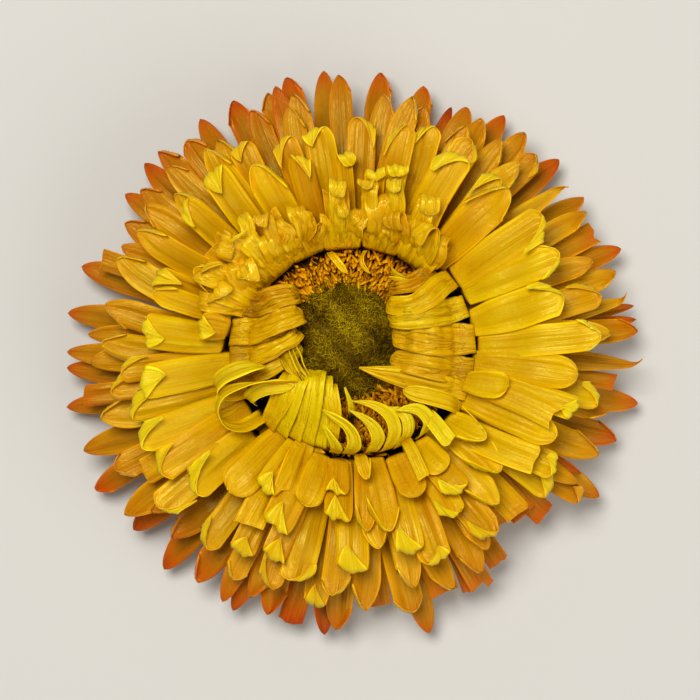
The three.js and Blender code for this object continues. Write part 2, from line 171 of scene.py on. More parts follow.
def paperMaterial(name, stops, roughness, gloss, ribbed, wrinkled):
    material, tree = newMaterial(name)
    uv = addNode(tree, "TexCoord", output="UV")
    across, along, _ = addNode(tree, "SeparateXYZ", (uv,), "all")
    look = addNode(tree, "Attribute", attribute_name="finish", output="all")
    tone, blush, dry = addNode(tree, "SeparateColor", (look["Color"],), "all")
    shade = addNode(tree, "Attribute", attribute_name="shade", output="Fac")
    chance = addNode(tree, "Math", (look["Alpha"], 40.0), operation="MULTIPLY")
    chance = addNode(tree, "CombineXYZ", {"Z": chance})
    noises = {}
    for key, (wide, long, detail, rough, distortion) in paperNoises.items():
        place = addNode(tree, "VectorMath", (uv, (wide, long, 0), chance), operation="MULTIPLY_ADD")
        noises[key] = addNode(tree, "TexNoise", {
            "Vector": place, "Scale": 1.0, "Detail": detail, "Roughness": rough, "Distortion": distortion})
    middle = addNode(tree, "Math", (across, 0.5), operation="SUBTRACT")
    middle = addNode(tree, "Math", (middle,), operation="ABSOLUTE")
    edge = addNode(tree, "Math", (middle, 2.0), operation="MULTIPLY")
    fibreSwing = addNode(tree, "Math", (noises["fibres"], 0.5), operation="SUBTRACT")
    cloudSwing = addNode(tree, "Math", (noises["clouds"], 0.5), operation="SUBTRACT")
    veryDry = addNode(tree, "Math", (dry, 1.3), operation="MULTIPLY", use_clamp=True)

    # where along and across the sheet something shows, from 0 to 1
    zones = {}
    for key, source, start, stop in (
            ("rim", edge, 0.84, 0.98), ("tip", along, 0.68, 1.0), ("tipRim", along, 0.975, 1.0),
            ("blade", along, 0.30, 0.75),
            ("heartAlong", along, 0.92, 0.55), ("heartAcross", edge, 0.95, 0.25),
            ("end", along, 0.84, 1.0), ("band", along, 0.62, 0.30)):
        zones[key] = addNode(tree, "MapRange", (source, start, stop), interpolation_type="SMOOTHSTEP")

    # colour by tone, redder at the tip, darker olive in the heart as partly own colour and partly painted
    # shade, brighter along the rim as painted light where light comes through
    tone = addNode(tree, "Math", (zones["tip"], blush, tone), operation="MULTIPLY_ADD")
    tone = addNode(tree, "Math", (fibreSwing, paper["fibreTone"], tone), operation="MULTIPLY_ADD")
    tone = addNode(tree, "Math", (cloudSwing, paper["cloudTone"], tone), operation="MULTIPLY_ADD")
    ripe = addNode(tree, "ValToRGB", (tone,), stops=stops)
    # the heart of older bracts mixes towards olive: partly their own colour, partly painted shade
    heart = addNode(tree, "Math", (zones["heartAlong"], zones["heartAcross"]), operation="MULTIPLY")
    heartShadeBy = (blush, paper["oliveShadeByBlush"], paper["oliveShadeShare"])
    heartShadeStrength = addNode(tree, "Math", heartShadeBy, operation="MULTIPLY_ADD")
    olive = addNode(tree, "Math", (heart, heartShadeStrength), operation="MULTIPLY", use_clamp=True)
    ripe = addNode(tree, "Mix", {0: olive, 6: ripe, 7: toLinear(paper["oliveShadeColour"])}, 2, data_type="RGBA")
    outline = addNode(tree, "Math", (zones["rim"], zones["blade"]), operation="MULTIPLY")
    outline = addNode(tree, "Math", (outline, zones["tipRim"]), operation="MAXIMUM")
    ripe = addNode(tree, "HueSaturation", {"Value": paper["rimGain"], "Color": ripe, "Fac": outline})

    # brown: the claw with a ragged edge, near black at its foot as painted shade of the gap under the fold,
    # the dry end, streaks, dry edges and crease lines, these darkened as painted shade of the creases
    ragged = addNode(tree, "Math", (fibreSwing, 1.1, shade), operation="MULTIPLY_ADD")
    ragged = addNode(tree, "MapRange", (ragged, 0.25, 0.75), interpolation_type="SMOOTHSTEP")
    end = addNode(tree, "Math", (dry, 0.8), operation="MULTIPLY")
    end = addNode(tree, "Math", (end, zones["end"]), operation="MULTIPLY")
    dryness = addNode(tree, "Math", (zones["band"], 0.45, 0.75), operation="MULTIPLY_ADD")
    dryness = addNode(tree, "Math", (dryness, dry), operation="MULTIPLY")
    streaks = addNode(tree, "Math", (noises["ribs"], noises["clouds"]), operation="ADD")
    streaks = addNode(tree, "Math", (streaks, 0.5), operation="MULTIPLY")
    streaks = addNode(tree, "Math", (noises["fibres"], 1.3, streaks), operation="MULTIPLY_ADD")
    streaks = addNode(tree, "Math", (streaks, dryness), operation="MULTIPLY")
    streaks = addNode(tree, "MapRange", (streaks, 0.50, 1.15, 0.0, 0.75), interpolation_type="SMOOTHSTEP")
    frayed = addNode(tree, "Math", (noises["fibres"], 0.25, edge), operation="MULTIPLY_ADD")
    frayed = addNode(tree, "MapRange", (frayed, 0.95, 1.15), interpolation_type="SMOOTHSTEP")
    frayed = addNode(tree, "Math", (frayed, veryDry), operation="MULTIPLY")
    # thin crease lines on dry sheets, darkened: painted shade of the creases
    creases = addNode(tree, "Math", (noises["lines"], 0.5), operation="SUBTRACT")
    creases = addNode(tree, "Math", (creases,), operation="ABSOLUTE")
    creases = addNode(tree, "MapRange", (creases, 0.030, 0.0), interpolation_type="SMOOTHSTEP")
    creases = addNode(tree, "Math", (creases, veryDry), operation="MULTIPLY")
    brown = addNode(tree, "Math", (creases, 0.85), operation="MULTIPLY")
    for stain in (ragged, end, streaks, frayed):
        brown = addNode(tree, "Math", (brown, stain), operation="MAXIMUM")
    # claw brown, going to near black where shade reaches 1: the claw's own brown, then painted shade of the
    # gap under the fold
    clawStops = [(0.0, paper["clawColour"]), (0.6, paper["clawColour"]), (1.0, paper["gapShadeColour"])]
    dark = addNode(tree, "ValToRGB", (shade,), stops=clawStops)
    colour = addNode(tree, "Mix", {0: brown, 6: ripe, 7: dark}, 2, data_type="RGBA")

    # relief: ribs, fibres and wrinkles stand up, crease lines are dented
    relief = addNode(tree, "Math", (noises["ribs"], ribbed), operation="MULTIPLY")
    for source, weight in ((noises["fibres"], 0.5), (noises["wrinkles"], wrinkled), (creases, -0.5)):
        relief = addNode(tree, "Math", (source, weight, relief), operation="MULTIPLY_ADD")
    bump = addNode(tree, "Bump", {"Strength": 1.0, "Distance": paper["bumpDepth"] * mm, "Height": relief})
    shine = (noises["fibres"], 0.3, 0.7, roughness - 0.07, roughness + 0.12)
    shine = addNode(tree, "MapRange", shine, interpolation_type="SMOOTHSTEP")
    sheet = addNode(tree, "BsdfPrincipled", {
        "IOR": paper["ior"], "Specular IOR Level": gloss, "Specular Tint": toLinear(paper["shineColour"]),
        "Subsurface Weight": paper["subsurface"], "Subsurface Scale": paper["scatterDepth"] * mm,
        "Subsurface Radius": (1.0, 0.6, 0.1), "Base Color": colour, "Roughness": shine, "Normal": bump})
    addNode(tree, "OutputMaterial", {"Surface": sheet})
    return material


paperFront = paperMaterial("dried bract, satin face", paperStops["face"], 0.31, 0.7, 1.0, 0.8)
paperBack = paperMaterial("dried bract, pale reverse", paperStops["reverse"], 0.28, 0.8, 1.0, 0.9)
crushedPaper = paperMaterial("crushed bract, glossy", paperStops["crushed"], 0.19, 1.0, 0.3, 0.4)
print("paper materials done")


# Long bracts, row by row from the outermost: angle of the tip in degrees, reach and width in mm, form, and
# then what differs: lean in degrees from the foot to the tip, ring for the radius of the fold at the disc,
# tone for an odd colour.
rows = {
    "bract_row_01": [
        (6.7, 36.3, 1.9, "point", {"tone": 0.66}), (9.5, 36.3, 1.8, "point", {"tone": 0.62}),
        (21.2, 36.6, 3.3, "point"), (34, 35.3, 3.2, "round"), (43, 36, 3.4, "point", {"tone": 0.6}),
        (57.3, 35.8, 3.4, "point", {"tone": 0.62}), (68, 33.6, 2, "point", {"tone": 0.74}),
        (75, 35, 3.3, "round"), (84.5, 35.8, 3.3, "round"), (95.7, 36, 3.2, "point"),
        (103.6, 35.9, 3.2, "round"), (115, 35.4, 3.4, "round"), (123, 35.4, 3.3, "point", {"tone": 0.6}),
        (137.6, 35.7, 3.2, "point", {"tone": 0.55}), (145, 35.1, 3.2, "point"),
        (162.3, 36, 3.7, "point", {"tone": 0.62}), (172, 36.4, 3.4, "point"),
        (183, 36.2, 3.2, "point", {"lean": -5}), (190.8, 36.9, 3, "point", {"tone": 0.6}),
        (208, 36.9, 3.2, "round"), (219, 35.7, 3.8, "point", {"tone": 0.62}),
        (229, 36.4, 3.7, "point", {"tone": 0.56}), (245.2, 36, 3, "point", {"tone": 0.62}),
        (257, 35.2, 3.2, "flat", {"tone": 0.56}), (264.4, 35.9, 3.2, "point", {"tone": 0.66}),
        (275.8, 32.5, 3.6, "flat", {"tone": 0.45}), (285.4, 36.9, 3.5, "point"),
        (296, 33.8, 1.4, "flat", {"tone": 0.5}), (305, 32.7, 2.8, "flat"),
        (320, 32.2, 3.2, "flat", {"tone": 0.56}), (329.8, 36.3, 3.4, "point", {"tone": 0.5}),
        (341.6, 35.2, 3.4, "round", {"tone": 0.66}), (350, 36.9, 3.4, "point", {"tone": 0.55}),
    ],
    "bract_row_02": [
        (4.2, 36.1, 3.2, "round"), (26.5, 34.6, 2.9, "torn"), (52, 35.3, 3.3, "round"),
        (65, 34.2, 3.4, "round"), (107.7, 34.4, 2.8, "round"), (134, 35.2, 3.2, "round"),
        (179.8, 36, 3, "point"), (200, 36.1, 3.7, "point"), (236, 34.8, 3.9, "round"),
        (242.5, 35.4, 3, "point"), (252, 34.7, 3.6, "round", {"tone": 0.55}), (266.5, 35, 3.6, "round"),
        (291, 32.7, 3.8, "flat", {"tone": 0.55}), (299.3, 34.4, 3.1, "torn"), (310.3, 29, 2.9, "torn"),
        (316.8, 30, 3.5, "flat", {"tone": 0.6}), (332.2, 32.6, 1.6, "point", {"tone": 0.7}),
        (353.5, 33.6, 2.2, "flat", {"tone": 0.6}),
    ],
    "bract_row_03": [
        (11, 34.1, 2.8, "hook+"), (17, 34.7, 3, "round"), (31.3, 34.3, 2.8, "round"),
        (46.5, 33.8, 3, "curl-"), (61, 33.6, 3.3, "round"), (93, 35.1, 3, "round"),
        (106, 34.9, 3, "point", {"tone": 0.6}), (112.5, 33, 3.2, "round"), (127.5, 33.8, 3.2, "rim"),
        (142.3, 33.5, 3.2, "round"), (150, 32.8, 3.2, "round"), (159.5, 33.9, 2.8, "flat"),
        (176, 33.3, 2.8, "point"), (189, 34.9, 2.8, "torn"), (215.3, 35, 3.6, "round"),
        (226, 32.5, 3.6, "round"), (247, 33.3, 2.8, "round"), (283, 33.5, 3.7, "rim"),
        (327.8, 34.1, 2.7, "fold+"), (337.3, 33.5, 3.7, "round"), (347, 32.9, 3, "round"),
        (357.5, 35, 2.8, "hook+"),
    ],
    "bract_row_04": [
        (4.5, 32.5, 3.2, "round"), (21, 32.3, 3, "round"), (38.3, 32.8, 2.8, "hook-"),
        (55.5, 32.7, 3.2, "round"), (73.5, 32.1, 3.2, "round"), (83, 32.6, 3.3, "round"),
        (103, 33.2, 3.2, "round"), (135, 32.9, 3.2, "round"), (155, 31.8, 3, "round"),
        (182, 32.9, 3.5, "point"), (194.5, 32.4, 4, "round"), (206.3, 33, 3.4, "rim"),
        (218.5, 32.1, 3.2, "round"), (242, 32, 3, "rim"), (262, 32, 3.2, "fold-"), (273, 32.2, 3.7, "round"),
        (293.5, 32.2, 3.3, "round", {"lean": 6}), (300.5, 31.9, 3.5, "round"), (316, 29.3, 3.4, "flat"),
        (330, 32.6, 2.6, "point"),
    ],
    "bract_row_05": [
        (14, 31.5, 3.7, "curl+"), (49, 31.7, 3, "round"), (63, 31.7, 3.3, "round"), (77, 32.8, 3.2, "round"),
        (104.5, 31.7, 3.2, "round"), (122.5, 31.3, 3.5, "round"), (144.5, 31.6, 3.2, "round"),
        (158, 31.5, 3.6, "round", {"lean": -7}), (168.5, 31.3, 3.7, "round", {"lean": -6}),
        (178, 31.3, 3.5, "round", {"lean": -3}), (210, 30.8, 3.5, "torn"), (232.5, 30.2, 3.5, "curl-"),
        (250.5, 31, 3.4, "curl-"), (265.5, 30.2, 3.5, "rim"), (285, 30.3, 3.3, "round"),
        (304.5, 29.7, 3.2, "round"), (325, 30, 3.4, "fold+"), (349.8, 31.3, 3.4, "crescent+"),
    ],
    "bract_row_06": [
        (60.5, 30.2, 3.7, "curl-"), (71, 29.8, 3.2, "curl+"), (87.5, 29.2, 3.6, "curl-"),
        (118, 29.4, 3.4, "fold+"), (126, 31.2, 3.3, "round"), (138, 29.5, 3.3, "round"),
        (150.5, 30.7, 3.4, "round"), (188, 30.2, 3.4, "curl-"), (219, 30.7, 3.9, "curl+"),
        (241.5, 28.7, 3.4, "fold-"), (256, 29.3, 4.2, "crescent+"), (308, 28.5, 3.8, "crescent-"),
        (330.8, 29.2, 3.6, "fold+"),
    ],
    "bract_row_07": [
        (51, 28.3, 3.2, "crescent+"), (77, 28.9, 3.3, "curl+"), (99.3, 28.3, 4, "fold+"),
        (108.3, 28, 3.4, "crescent+"), (127, 28.6, 3.7, "fold+"), (138, 28, 3.3, "crescent+"),
        (158, 26.2, 3.2, "fold-"), (184.5, 28.8, 3.2, "curl-"), (194, 28.5, 3.9, "crescent-"),
        (248.5, 27.4, 3.4, "fold-"), (270.5, 27.2, 4.2, "fold-"), (291.8, 28, 4.2, "fold+"),
        (314, 26, 3.5, "round"),
    ],
    "bract_row_08": [
        (4.5, 30.7, 3.9, "rim+", {"ring": 15.7}), (16, 26.8, 4.9, "curl+", {"ring": 15.3, "lean": 2}),
        (25, 28.3, 3.9, "rim-", {"ring": 15.8}), (34.5, 29, 4.5, "crescent-", {"ring": 15.8}),
        (46, 28, 4.7, "round", {"ring": 15.2}), (61.5, 27.9, 4.4, "crescent+", {"ring": 14.3}),
        (76.5, 23.8, 2.6, "scroll"), (92.8, 24.8, 1.9, "scroll"), (105.5, 25.5, 3.2, "crescent-"),
        (117.5, 26.2, 4.2, "round"), (163, 25.7, 2.8, "round"), (173, 26.2, 4.4, "fold+", {"ring": 16.1}),
        (189, 26.5, 4.4, "fold-", {"ring": 15.0}), (202, 28.3, 4, "crescent-", {"ring": 15.0}),
        (211.5, 28, 4, "curl-", {"ring": 14.6}), (220.5, 26, 4.4, "crescent-", {"ring": 15.9}),
        (239, 25.3, 3.8, "sheet"), (278, 24.3, 3.3, "round", {"ring": 13.2}),
        (286, 25.6, 3.7, "fold-", {"ring": 14.0}), (302, 24, 3.5, "crescent-", {"ring": 13.0}),
        (321.5, 23.5, 4, "round", {"ring": 13.9}), (330, 26.5, 3.8, "flat", {"ring": 14.4, "lean": 5}),
        (337.5, 27.2, 3.8, "pleat", {"ring": 14.5}), (345.5, 28.8, 3.2, "fold-", {"ring": 14.2}),
        (354.5, 28, 4.2, "pleat", {"ring": 15.1}),
    ],
    "bract_row_09": [
        (62, 21.5, 3.6, "sheet"), (83, 22.8, 2.4, "scroll"), (122.5, 20.5, 3.6, "sheet"),
        (142.5, 22.3, 3.6, "sheet"), (151.5, 22, 3.6, "round"), (228, 22.8, 4.8, "pleat", {"ring": 13.4}),
        (246, 23.7, 4.2, "fold-", {"ring": 12.6}), (265.8, 20.9, 3.6, "fold-", {"ring": 13.3}),
        (274.5, 22, 2.6, "round", {"ring": 13.0}), (281.5, 22.5, 3.8, "round", {"ring": 13.3}),
        (308, 21.7, 3.6, "crescent-", {"ring": 13.5}), (342, 26.9, 3.2, "torn", {"ring": 14.6, "lean": -4}),
    ],
    "bract_row_10": [
        (96, 20.5, 3.2, "sheet"), (111, 18.5, 3.2, "sheet"), (134, 18.5, 3.2, "sheet"),
        (155, 18.5, 3.2, "sheet"), (170, 19, 3.6, "fold+", {"ring": 15.6}),
        (237.5, 20, 3.4, "fold-", {"ring": 13.1}), (244.8, 19, 3.4, "flat", {"ring": 12.4}),
        (252.5, 19.6, 3.8, "pleat", {"ring": 13.2}), (264, 17.5, 3.2, "fold-", {"ring": 13.4}),
        (294.5, 19.5, 3.8, "point", {"ring": 13.8}), (308.5, 18.5, 3.6, "point", {"ring": 13.7}),
        (328, 19.5, 3.4, "round", {"ring": 14.3}), (348.5, 19.7, 3.6, "point", {"ring": 14.4}),
    ],
}
rowLooks = {  # tone runs from lemon 0 to dark red 1, blush is how much redder the tip is
    "bract_row_01": (0.53, 0.26), "bract_row_02": (0.51, 0.20), "bract_row_03": (0.47, 0.16),
    "bract_row_04": (0.40, 0.14), "bract_row_05": (0.37, 0.11), "bract_row_06": (0.35, 0.08),
    "bract_row_07": (0.33, 0.05), "bract_row_08": (0.30, 0.03), "bract_row_09": (0.28, 0.02),
    "bract_row_10": (0.28, 0.02),
}

head = {  # heights and radii of the head, in mm, as the solid frame has them
    "hingeRadius": 13.4, "firstHinge": 6.6, "lastHinge": 15.4, "lowSlope": 0.23, "highSlope": 0.64,
    "droop": 0.0142, "wallRadius": 12.6, "rimHeight": 9.6, "rimStep": 0.25, "clawTop": 16.3,
    "ringX": 15.6, "ringY": 13.2, "orangeRows": 3, "goldRows": 7,
}
sheets = {  # mm, and faces across and along each master sheet
    "thickness": 0.11, "scaleThickness": 0.14, "clawShare": 0.12, "railStep": 0.2, "coarseRows": 5,
    "grids": {"coarse": (10, 36), "fine": (14, 46), "inner": (20, 44), "shred": (8, 34), "ribbon": (12, 56),
              "scale": (10, 18)},
}
waves = {  # height in mm of the waves in a sheet, and how far they turn across half of it, in radians
    "pleatHeight": 0.075, "pleatTurn": 5.2, "ribHeight": 0.045, "ribTurn": 10.5, "sagHeight": 0.16,
}

# end is the share of the blade that narrows to its tip. A flap (depth, skew, slant, radius, wrap, bow) is a
# pointed end, skewed to one side and rolled over a crest that slants and bows. A fold (depth, turn, radius,
# wrap) turns the end over along a straight slanting line. Lengths are in mm, turns and wraps in degrees.
forms = {
    "round": {"end": 0.24, "flap": (0.4, 0.35, -0.1, 0.10, 130, 1.5)},
    "point": {"end": 0.34, "pointed": 2.6, "blunt": 0.62},
    "torn": {"end": 0.12, "jag": 1.4},
    "flat": {"end": 0.10, "jag": 0.5},
    "pleat": {"end": 0.22, "folds": 0.13},
    "rim": {"flap": (0.7, 0.5, -0.1, 0.13, 150, 0.9)},
    "curl": {"flap": (1.5, 0.9, -0.22, 0.20, 158, 0.6)},
    "crescent": {"flap": (2.3, 0.75, -0.18, 0.26, 155, 0.55)},
    "fold": {"flap": (3.1, 0.35, -0.1, 0.30, 162, 0.45)},
    "scroll": {"end": 0.05, "folds": 0.08, "crumple": 0.2, "creases": 1.3, "fold": (2.7, 12, 0.52, 186)},
    "hook": {"end": 0.50, "pointed": 1.8, "fold": (2.2, 50, 0.8, 112)},
    "sheet": {"end": 0.12, "jag": 0.9, "crumple": 0.14, "folds": 0.12},
    "inner": {"end": 0.10, "folds": 0.10, "pinch": 0.38, "crumple": 0.34, "creases": 2.4, "foldCount": 4.2},
    "wall": {"end": 0.10, "folds": 0.32, "foldCount": 4.6, "crumple": 0.08, "jag": 1.6},
    "strip": {"end": 0.08, "folds": 0.05},
    "needle": {"end": 0.62, "pointed": 1.6, "folds": 0.10},
    "claw": {"end": 0.95, "pointed": 2.0},
}


def unit(v):
    return v / np.maximum(np.linalg.norm(v, axis=-1, keepdims=True), 1e-9)


def outwardAt(angle):
    return np.array([math.cos(angle), math.sin(angle), 0])


def acrossAt(angle):
    return np.array([-math.sin(angle), math.cos(angle), 0])


def bladeHeight(level, radius):  # level runs from 0 for the outermost row to 1 for the innermost
    out = radius - head["hingeRadius"]
    hinge = head["firstHinge"] + (head["lastHinge"] - head["firstHinge"]) * level
    slope = head["lowSlope"] + (head["highSlope"] - head["lowSlope"]) * level
    return hinge + slope * out - head["droop"] * out * out


def ringRadius(angle):  # the oval in which the blades of the upper rows fold down
    return 1 / math.hypot(math.cos(angle) / head["ringX"], math.sin(angle) / head["ringY"])


def evenly(points, step):  # the same line with even steps, and where along it they lie
    lengths = np.r_[0, np.cumsum(np.linalg.norm(np.diff(points, axis=0), axis=1))]
    places = np.linspace(0, lengths[-1], max(12, int(lengths[-1] / step)))
    return places, np.column_stack([np.interp(places, lengths, points[:, k]) for k in range(3)])


def soften(points):
    for _ in range(2):
        points[1:-1] = (points[:-2] + 2 * points[1:-1] + points[2:]) / 4
    return points


def frames(points, across, rolls):  # directions across and through the sheet, carried along the line
    along = unit(np.gradient(points, axis=0))
    sides = np.empty_like(points)
    side = np.array(across, float)
    for i, direction in enumerate(along):
        side = side - direction * (side @ direction)
        side = side / np.linalg.norm(side)
        sides[i] = side
    faces = np.cross(along, sides)
    turn = np.radians(rolls)[:, None]
    return sides * np.cos(turn) + faces * np.sin(turn), faces * np.cos(turn) - sides * np.sin(turn)


def rollOver(past, h, radius, most):  # where what lies past a crest goes as it rolls round a small cylinder
    angle = np.clip(past / radius, 0, most)
    rest = np.maximum(past - radius * most, 0)
    moved = np.where(past > 0, (radius - h) * np.sin(angle) + rest * np.cos(angle), past)
    raised = np.where(past > 0, radius - (radius - h) * np.cos(angle) + rest * np.sin(angle), h)
    return moved, raised


def rollAlongLine(x, y, h, start, turn, radius, most):  # the crest is a slanting line through (0, start)
    beyondX, beyondY = math.sin(turn), math.cos(turn)
    past = x * beyondX + (y - start) * beyondY
    side = x * beyondY - (y - start) * beyondX
    moved, raised = rollOver(past, h, radius, most)
    return side * beyondY + moved * beyondX, start - side * beyondX + moved * beyondY, raised


def rollAlongBow(x, y, h, crest, radius, most):  # the crest slants and bows near the tip
    top, slant, bow = crest
    past = y - (top + slant * x - bow * x * x)
    moved, raised = rollOver(past, h, radius, most)
    return x, y + moved - past, raised


def crease(x, y, size, depth, random):  # sharp creases of crushed paper, from folded waves
    total = np.zeros_like(x)
    for _ in range(5):
        direction = random.uniform(0, math.pi)
        length = size * random.uniform(0.7, 1.6)
        phase = random.uniform(0, 1)
        wave = ((x * math.cos(direction) + y * math.sin(direction)) / length + phase) % 1
        total += (np.abs(wave - 0.5) * 4 - 1) * random.uniform(0.4, 1)
    return depth * total / 2.2


def curve(points, steps=12):  # a smooth line through given points
    p = np.array(points, float)
    p = np.vstack([2 * p[0] - p[1], p, 2 * p[-1] - p[-2]])
    t = np.linspace(0, 1, steps, endpoint=False)[:, None]
    spans = [
        0.5 * (2 * b + (c - a) * t + (2 * a - 5 * b + 4 * c - d) * t ** 2 + (3 * b - a - 3 * c + d) * t ** 3)
        for a, b, c, d in zip(p, p[1:], p[2:], p[3:])
    ]
    return np.vstack([*spans, p[-2:-1]])


def newGrid(name, size):  # a flat master sheet, which the bracts copy
    bpy.ops.object.select_all(action="DESELECT")
    bpy.ops.mesh.primitive_grid_add(x_subdivisions=size[0], y_subdivisions=size[1], size=1)
    grid = bpy.context.object
    grid.name = name
    return grid


masters = {kind: newGrid(kind + " master sheet", size) for kind, size in sheets["grids"].items()}


def copySheet(kind):
    piece = masters[kind].copy()
    piece.data = piece.data.copy()
    return linkToScene(piece)


def readMesh(piece):
    corners = np.empty(len(piece.data.vertices) * 3)
    piece.data.vertices.foreach_get("co", corners)
    return corners.reshape(-1, 3), [tuple(face.vertices) for face in piece.data.polygons]


def setPoints(piece, name, values, kind="FLOAT", field="value"):
    attribute = piece.data.attributes.new(name, kind, "POINT")
    attribute.data.foreach_set(field, np.asarray(values, np.float32).ravel())


# Where a sheet's points lie, in mm, before it bends: u goes across it from -1 to 1, t along it from 0 to 1.
def sheetPlan(u, t, blade, claw, spec):
    share = spec.get("clawShare", sheets["clawShare"])
    tau = np.clip((t - share) / (1 - share), 0, 1)
    spread = tau - 0.10 * np.sin(2 * math.pi * tau)
    clawSpread = np.clip(t / share, 0, 1)
    jag = spec["jag"] * np.interp(u, spec["jagAt"], spec["jagDepth"]) if "jag" in spec else 0
    y = np.where(t < share, claw * (1 - (1 - clawSpread) ** 1.6), claw + (blade - jag) * spread)

    done = np.clip((y - claw) / blade, 0, 1)
    body = spec["base"] + (1 - spec["base"]) * np.sin(np.clip(done / 0.5, 0, 1) * math.pi / 2)
    taper = spec.get("taper", spec["end"] * blade)
    ending = np.clip((y - claw - blade + taper) / taper, 0, 1)
    nearEnd = np.minimum(ending, 0.999)
    if "pointed" in spec:
        body = body * np.maximum((1 - nearEnd ** spec["pointed"]) ** spec.get("blunt", 0.85), 0.03)
    elif "jag" not in spec:
        body = body * np.maximum(np.sqrt(1 - nearEnd ** 2.2), 0.05)
    body = body * (1 - spec.get("pinch", 0) * done ** 2)
    shoulder = np.clip((y - claw + 0.35) / 0.35, 0, 1)
    half = spec["width"] / 2
    x = u * half * (spec["clawWidth"] + (body - spec["clawWidth"]) * shoulder)
    return x + spec.get("skew", 0) * half * ending ** 1.5, y, done


def sheetRelief(u, x, y, done, spec, random):  # pleats, ribs, folds and creases, and where the brown and the painted shade are
    pleats = spec.get("pleats", 1.0)
    phases = random.uniform(0, 2 * math.pi, 6)
    calm = np.clip(done * 6, 0, 1) * np.clip((1 - done) * 7, 0.15, 1)
    pleat = np.sin(waves["pleatTurn"] * u + phases[0] + 1.2 * np.sin(y * 0.22 + phases[1]))
    rib = np.sin(waves["ribTurn"] * u + phases[2] + 0.8 * np.sin(y * 0.3 + phases[3]))
    sag = np.sin(y * random.uniform(0.5, 0.9) + phases[4] + 0.6 * u)
    ripple = pleats * (waves["pleatHeight"] * pleat + waves["ribHeight"] * rib)
    h = calm * (ripple + waves["sagHeight"] * sag)
    arch = (1 - u * u) * np.sin(math.pi * np.clip(done, 0.1, 0.9))
    h += spec["camber"] * arch * spec["width"] / 3.2
    # below the end of the claw the sheet is browned and then painted near black: the claw's own brown, and
    # painted shade of the gap under the fold
    shade = np.clip((spec.get("brownTo", spec["claw"]) - y) / 1.5, 0, 1) * spec.get("dark", 1.0)
    if spec.get("folds"):
        wave = (u * spec["foldCount"] + phases[5] + 0.25 * np.sin(y * 0.35 + phases[1])) / 2 % 1
        ridge = (np.abs(wave - 0.5) * 4 - 1) * np.clip(done * 4, 0, 1)
        h += spec["folds"] * ridge
        # the valleys of dry folds are darkened: brown lines between the pleats, and painted shade in the
        # valleys
        shade = np.maximum(shade, np.clip(-1.8 * ridge - 1.0, 0, 1) * spec.get("dry", 0.0))
    if "crumple" in spec:
        h += crease(x, y, spec.get("creases", 2.6), spec["crumple"], random) * np.clip(done * 3, 0, 1)
    return h, shade


def shapeSheet(piece, rail, across, spec, random):
    flat, _ = readMesh(piece)
    u, t = 2 * flat[:, 0], flat[:, 1] + 0.5
    places, line = evenly(np.array(rail, float), sheets["railStep"])
    line = soften(line)
    length = places[-1]
    rolls = np.interp(places / length, np.linspace(0, 1, len(spec["rolls"])), spec["rolls"])
    sides, faces = frames(line, across, rolls)
    alongEnd = unit(line[-1] - line[-3])

    x, y, done = sheetPlan(u, t, length - spec["claw"], spec["claw"], spec)
    h, shade = sheetRelief(u, x, y, done, spec, random)
    if "fold" in spec:
        depth, turn, radius, most = spec["fold"]
        x, y, h = rollAlongLine(x, y, h, length - depth, math.radians(turn), radius, math.radians(most))
    if "margin" in spec:
        depth, slant, radius, most, bow = spec["margin"]
        crest = (length - depth, slant, 2 * bow / spec["width"])
        x, y, h = rollAlongBow(x, y, h, crest, radius, math.radians(most))

    def at(values):
        return np.column_stack([np.interp(y, places, values[:, k]) for k in range(3)])

    extra = np.maximum(y - length, 0)[:, None]
    place = at(line) - x[:, None] * at(sides) + h[:, None] * at(faces) + extra * alongEnd
    piece.data.vertices.foreach_set("co", (place * mm).ravel())
    setPoints(piece, "shade", shade)
    look = [spec["tone"], spec["blush"], spec.get("dry", 0.0), random.uniform(0, 1)]
    setPoints(piece, "finish", np.tile(look, (len(flat), 1)), "FLOAT_COLOR", "color")
    piece.data.update()


def finishPiece(pieces, name, materials, thickness=None):
    bpy.ops.object.select_all(action="DESELECT")
    for piece in pieces:
        piece.select_set(True)
    whole = pieces[0]
    bpy.context.view_layer.objects.active = whole
    if len(pieces) > 1:
        bpy.ops.object.join()
    whole.name = name
    whole.data.name = name
    whole.data.materials.clear()
    for material in materials:
        whole.data.materials.append(material)
    if thickness:
        solid = whole.modifiers.new("thickness", "SOLIDIFY")
        solid.thickness = thickness * mm
        solid.offset = -1
        solid.material_offset = len(materials) - 1
        bpy.ops.object.modifier_apply(modifier="thickness")
    bpy.ops.object.shade_smooth()
    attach(whole, "root")
    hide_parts(name)


def bractSpec(form, width, tone, blush, random):  # a form with its own chance variation
    side = {"+": 1, "-": -1}.get(form[-1], 0)
    base = forms[form.rstrip("+-")]
    if side == 0:
        side = random.choice([-1, -1, -1, 1])
    spec = {"foldCount": random.uniform(2.2, 3.6), **base}
    spec["foldCount"] *= random.uniform(0.8, 1.2)
    if "fold" in base:
        depth, slant, radius, most = base["fold"]
        depth *= random.uniform(0.85, 1.15)
        spec["fold"] = (depth, side * slant * random.uniform(0.8, 1.2), radius, most)
        spec["extra"] = depth - radius
    if "flap" in base:
        depth, skew, slant, radius, most, bow = base["flap"]
        depth *= random.uniform(0.7, 1.3)
        slant *= -side * random.uniform(0.4, 1.6)
        spec["margin"] = (depth, slant, radius * random.uniform(0.8, 1.3), most, bow)
        spec["skew"] = -side * skew * random.uniform(0.6, 1.2)
        spec["extra"] = depth - radius
        if "end" not in spec:
            spec["pointed"] = random.uniform(1.2, 1.7)
            spec["end"] = 0.2
            spec["taper"] = depth * random.uniform(1.1, 1.4) + 0.4
    if "jag" in base:
        spec["jagAt"] = np.sort(np.r_[-1, random.uniform(-0.9, 0.9, 4), 1])
        spec["jagDepth"] = random.uniform(0, 1, 6)
    spec.update(width=width, tone=tone + random.uniform(-0.08, 0.08), blush=blush)
    spec["camber"] = random.uniform(-0.05, 0.5)
    return spec


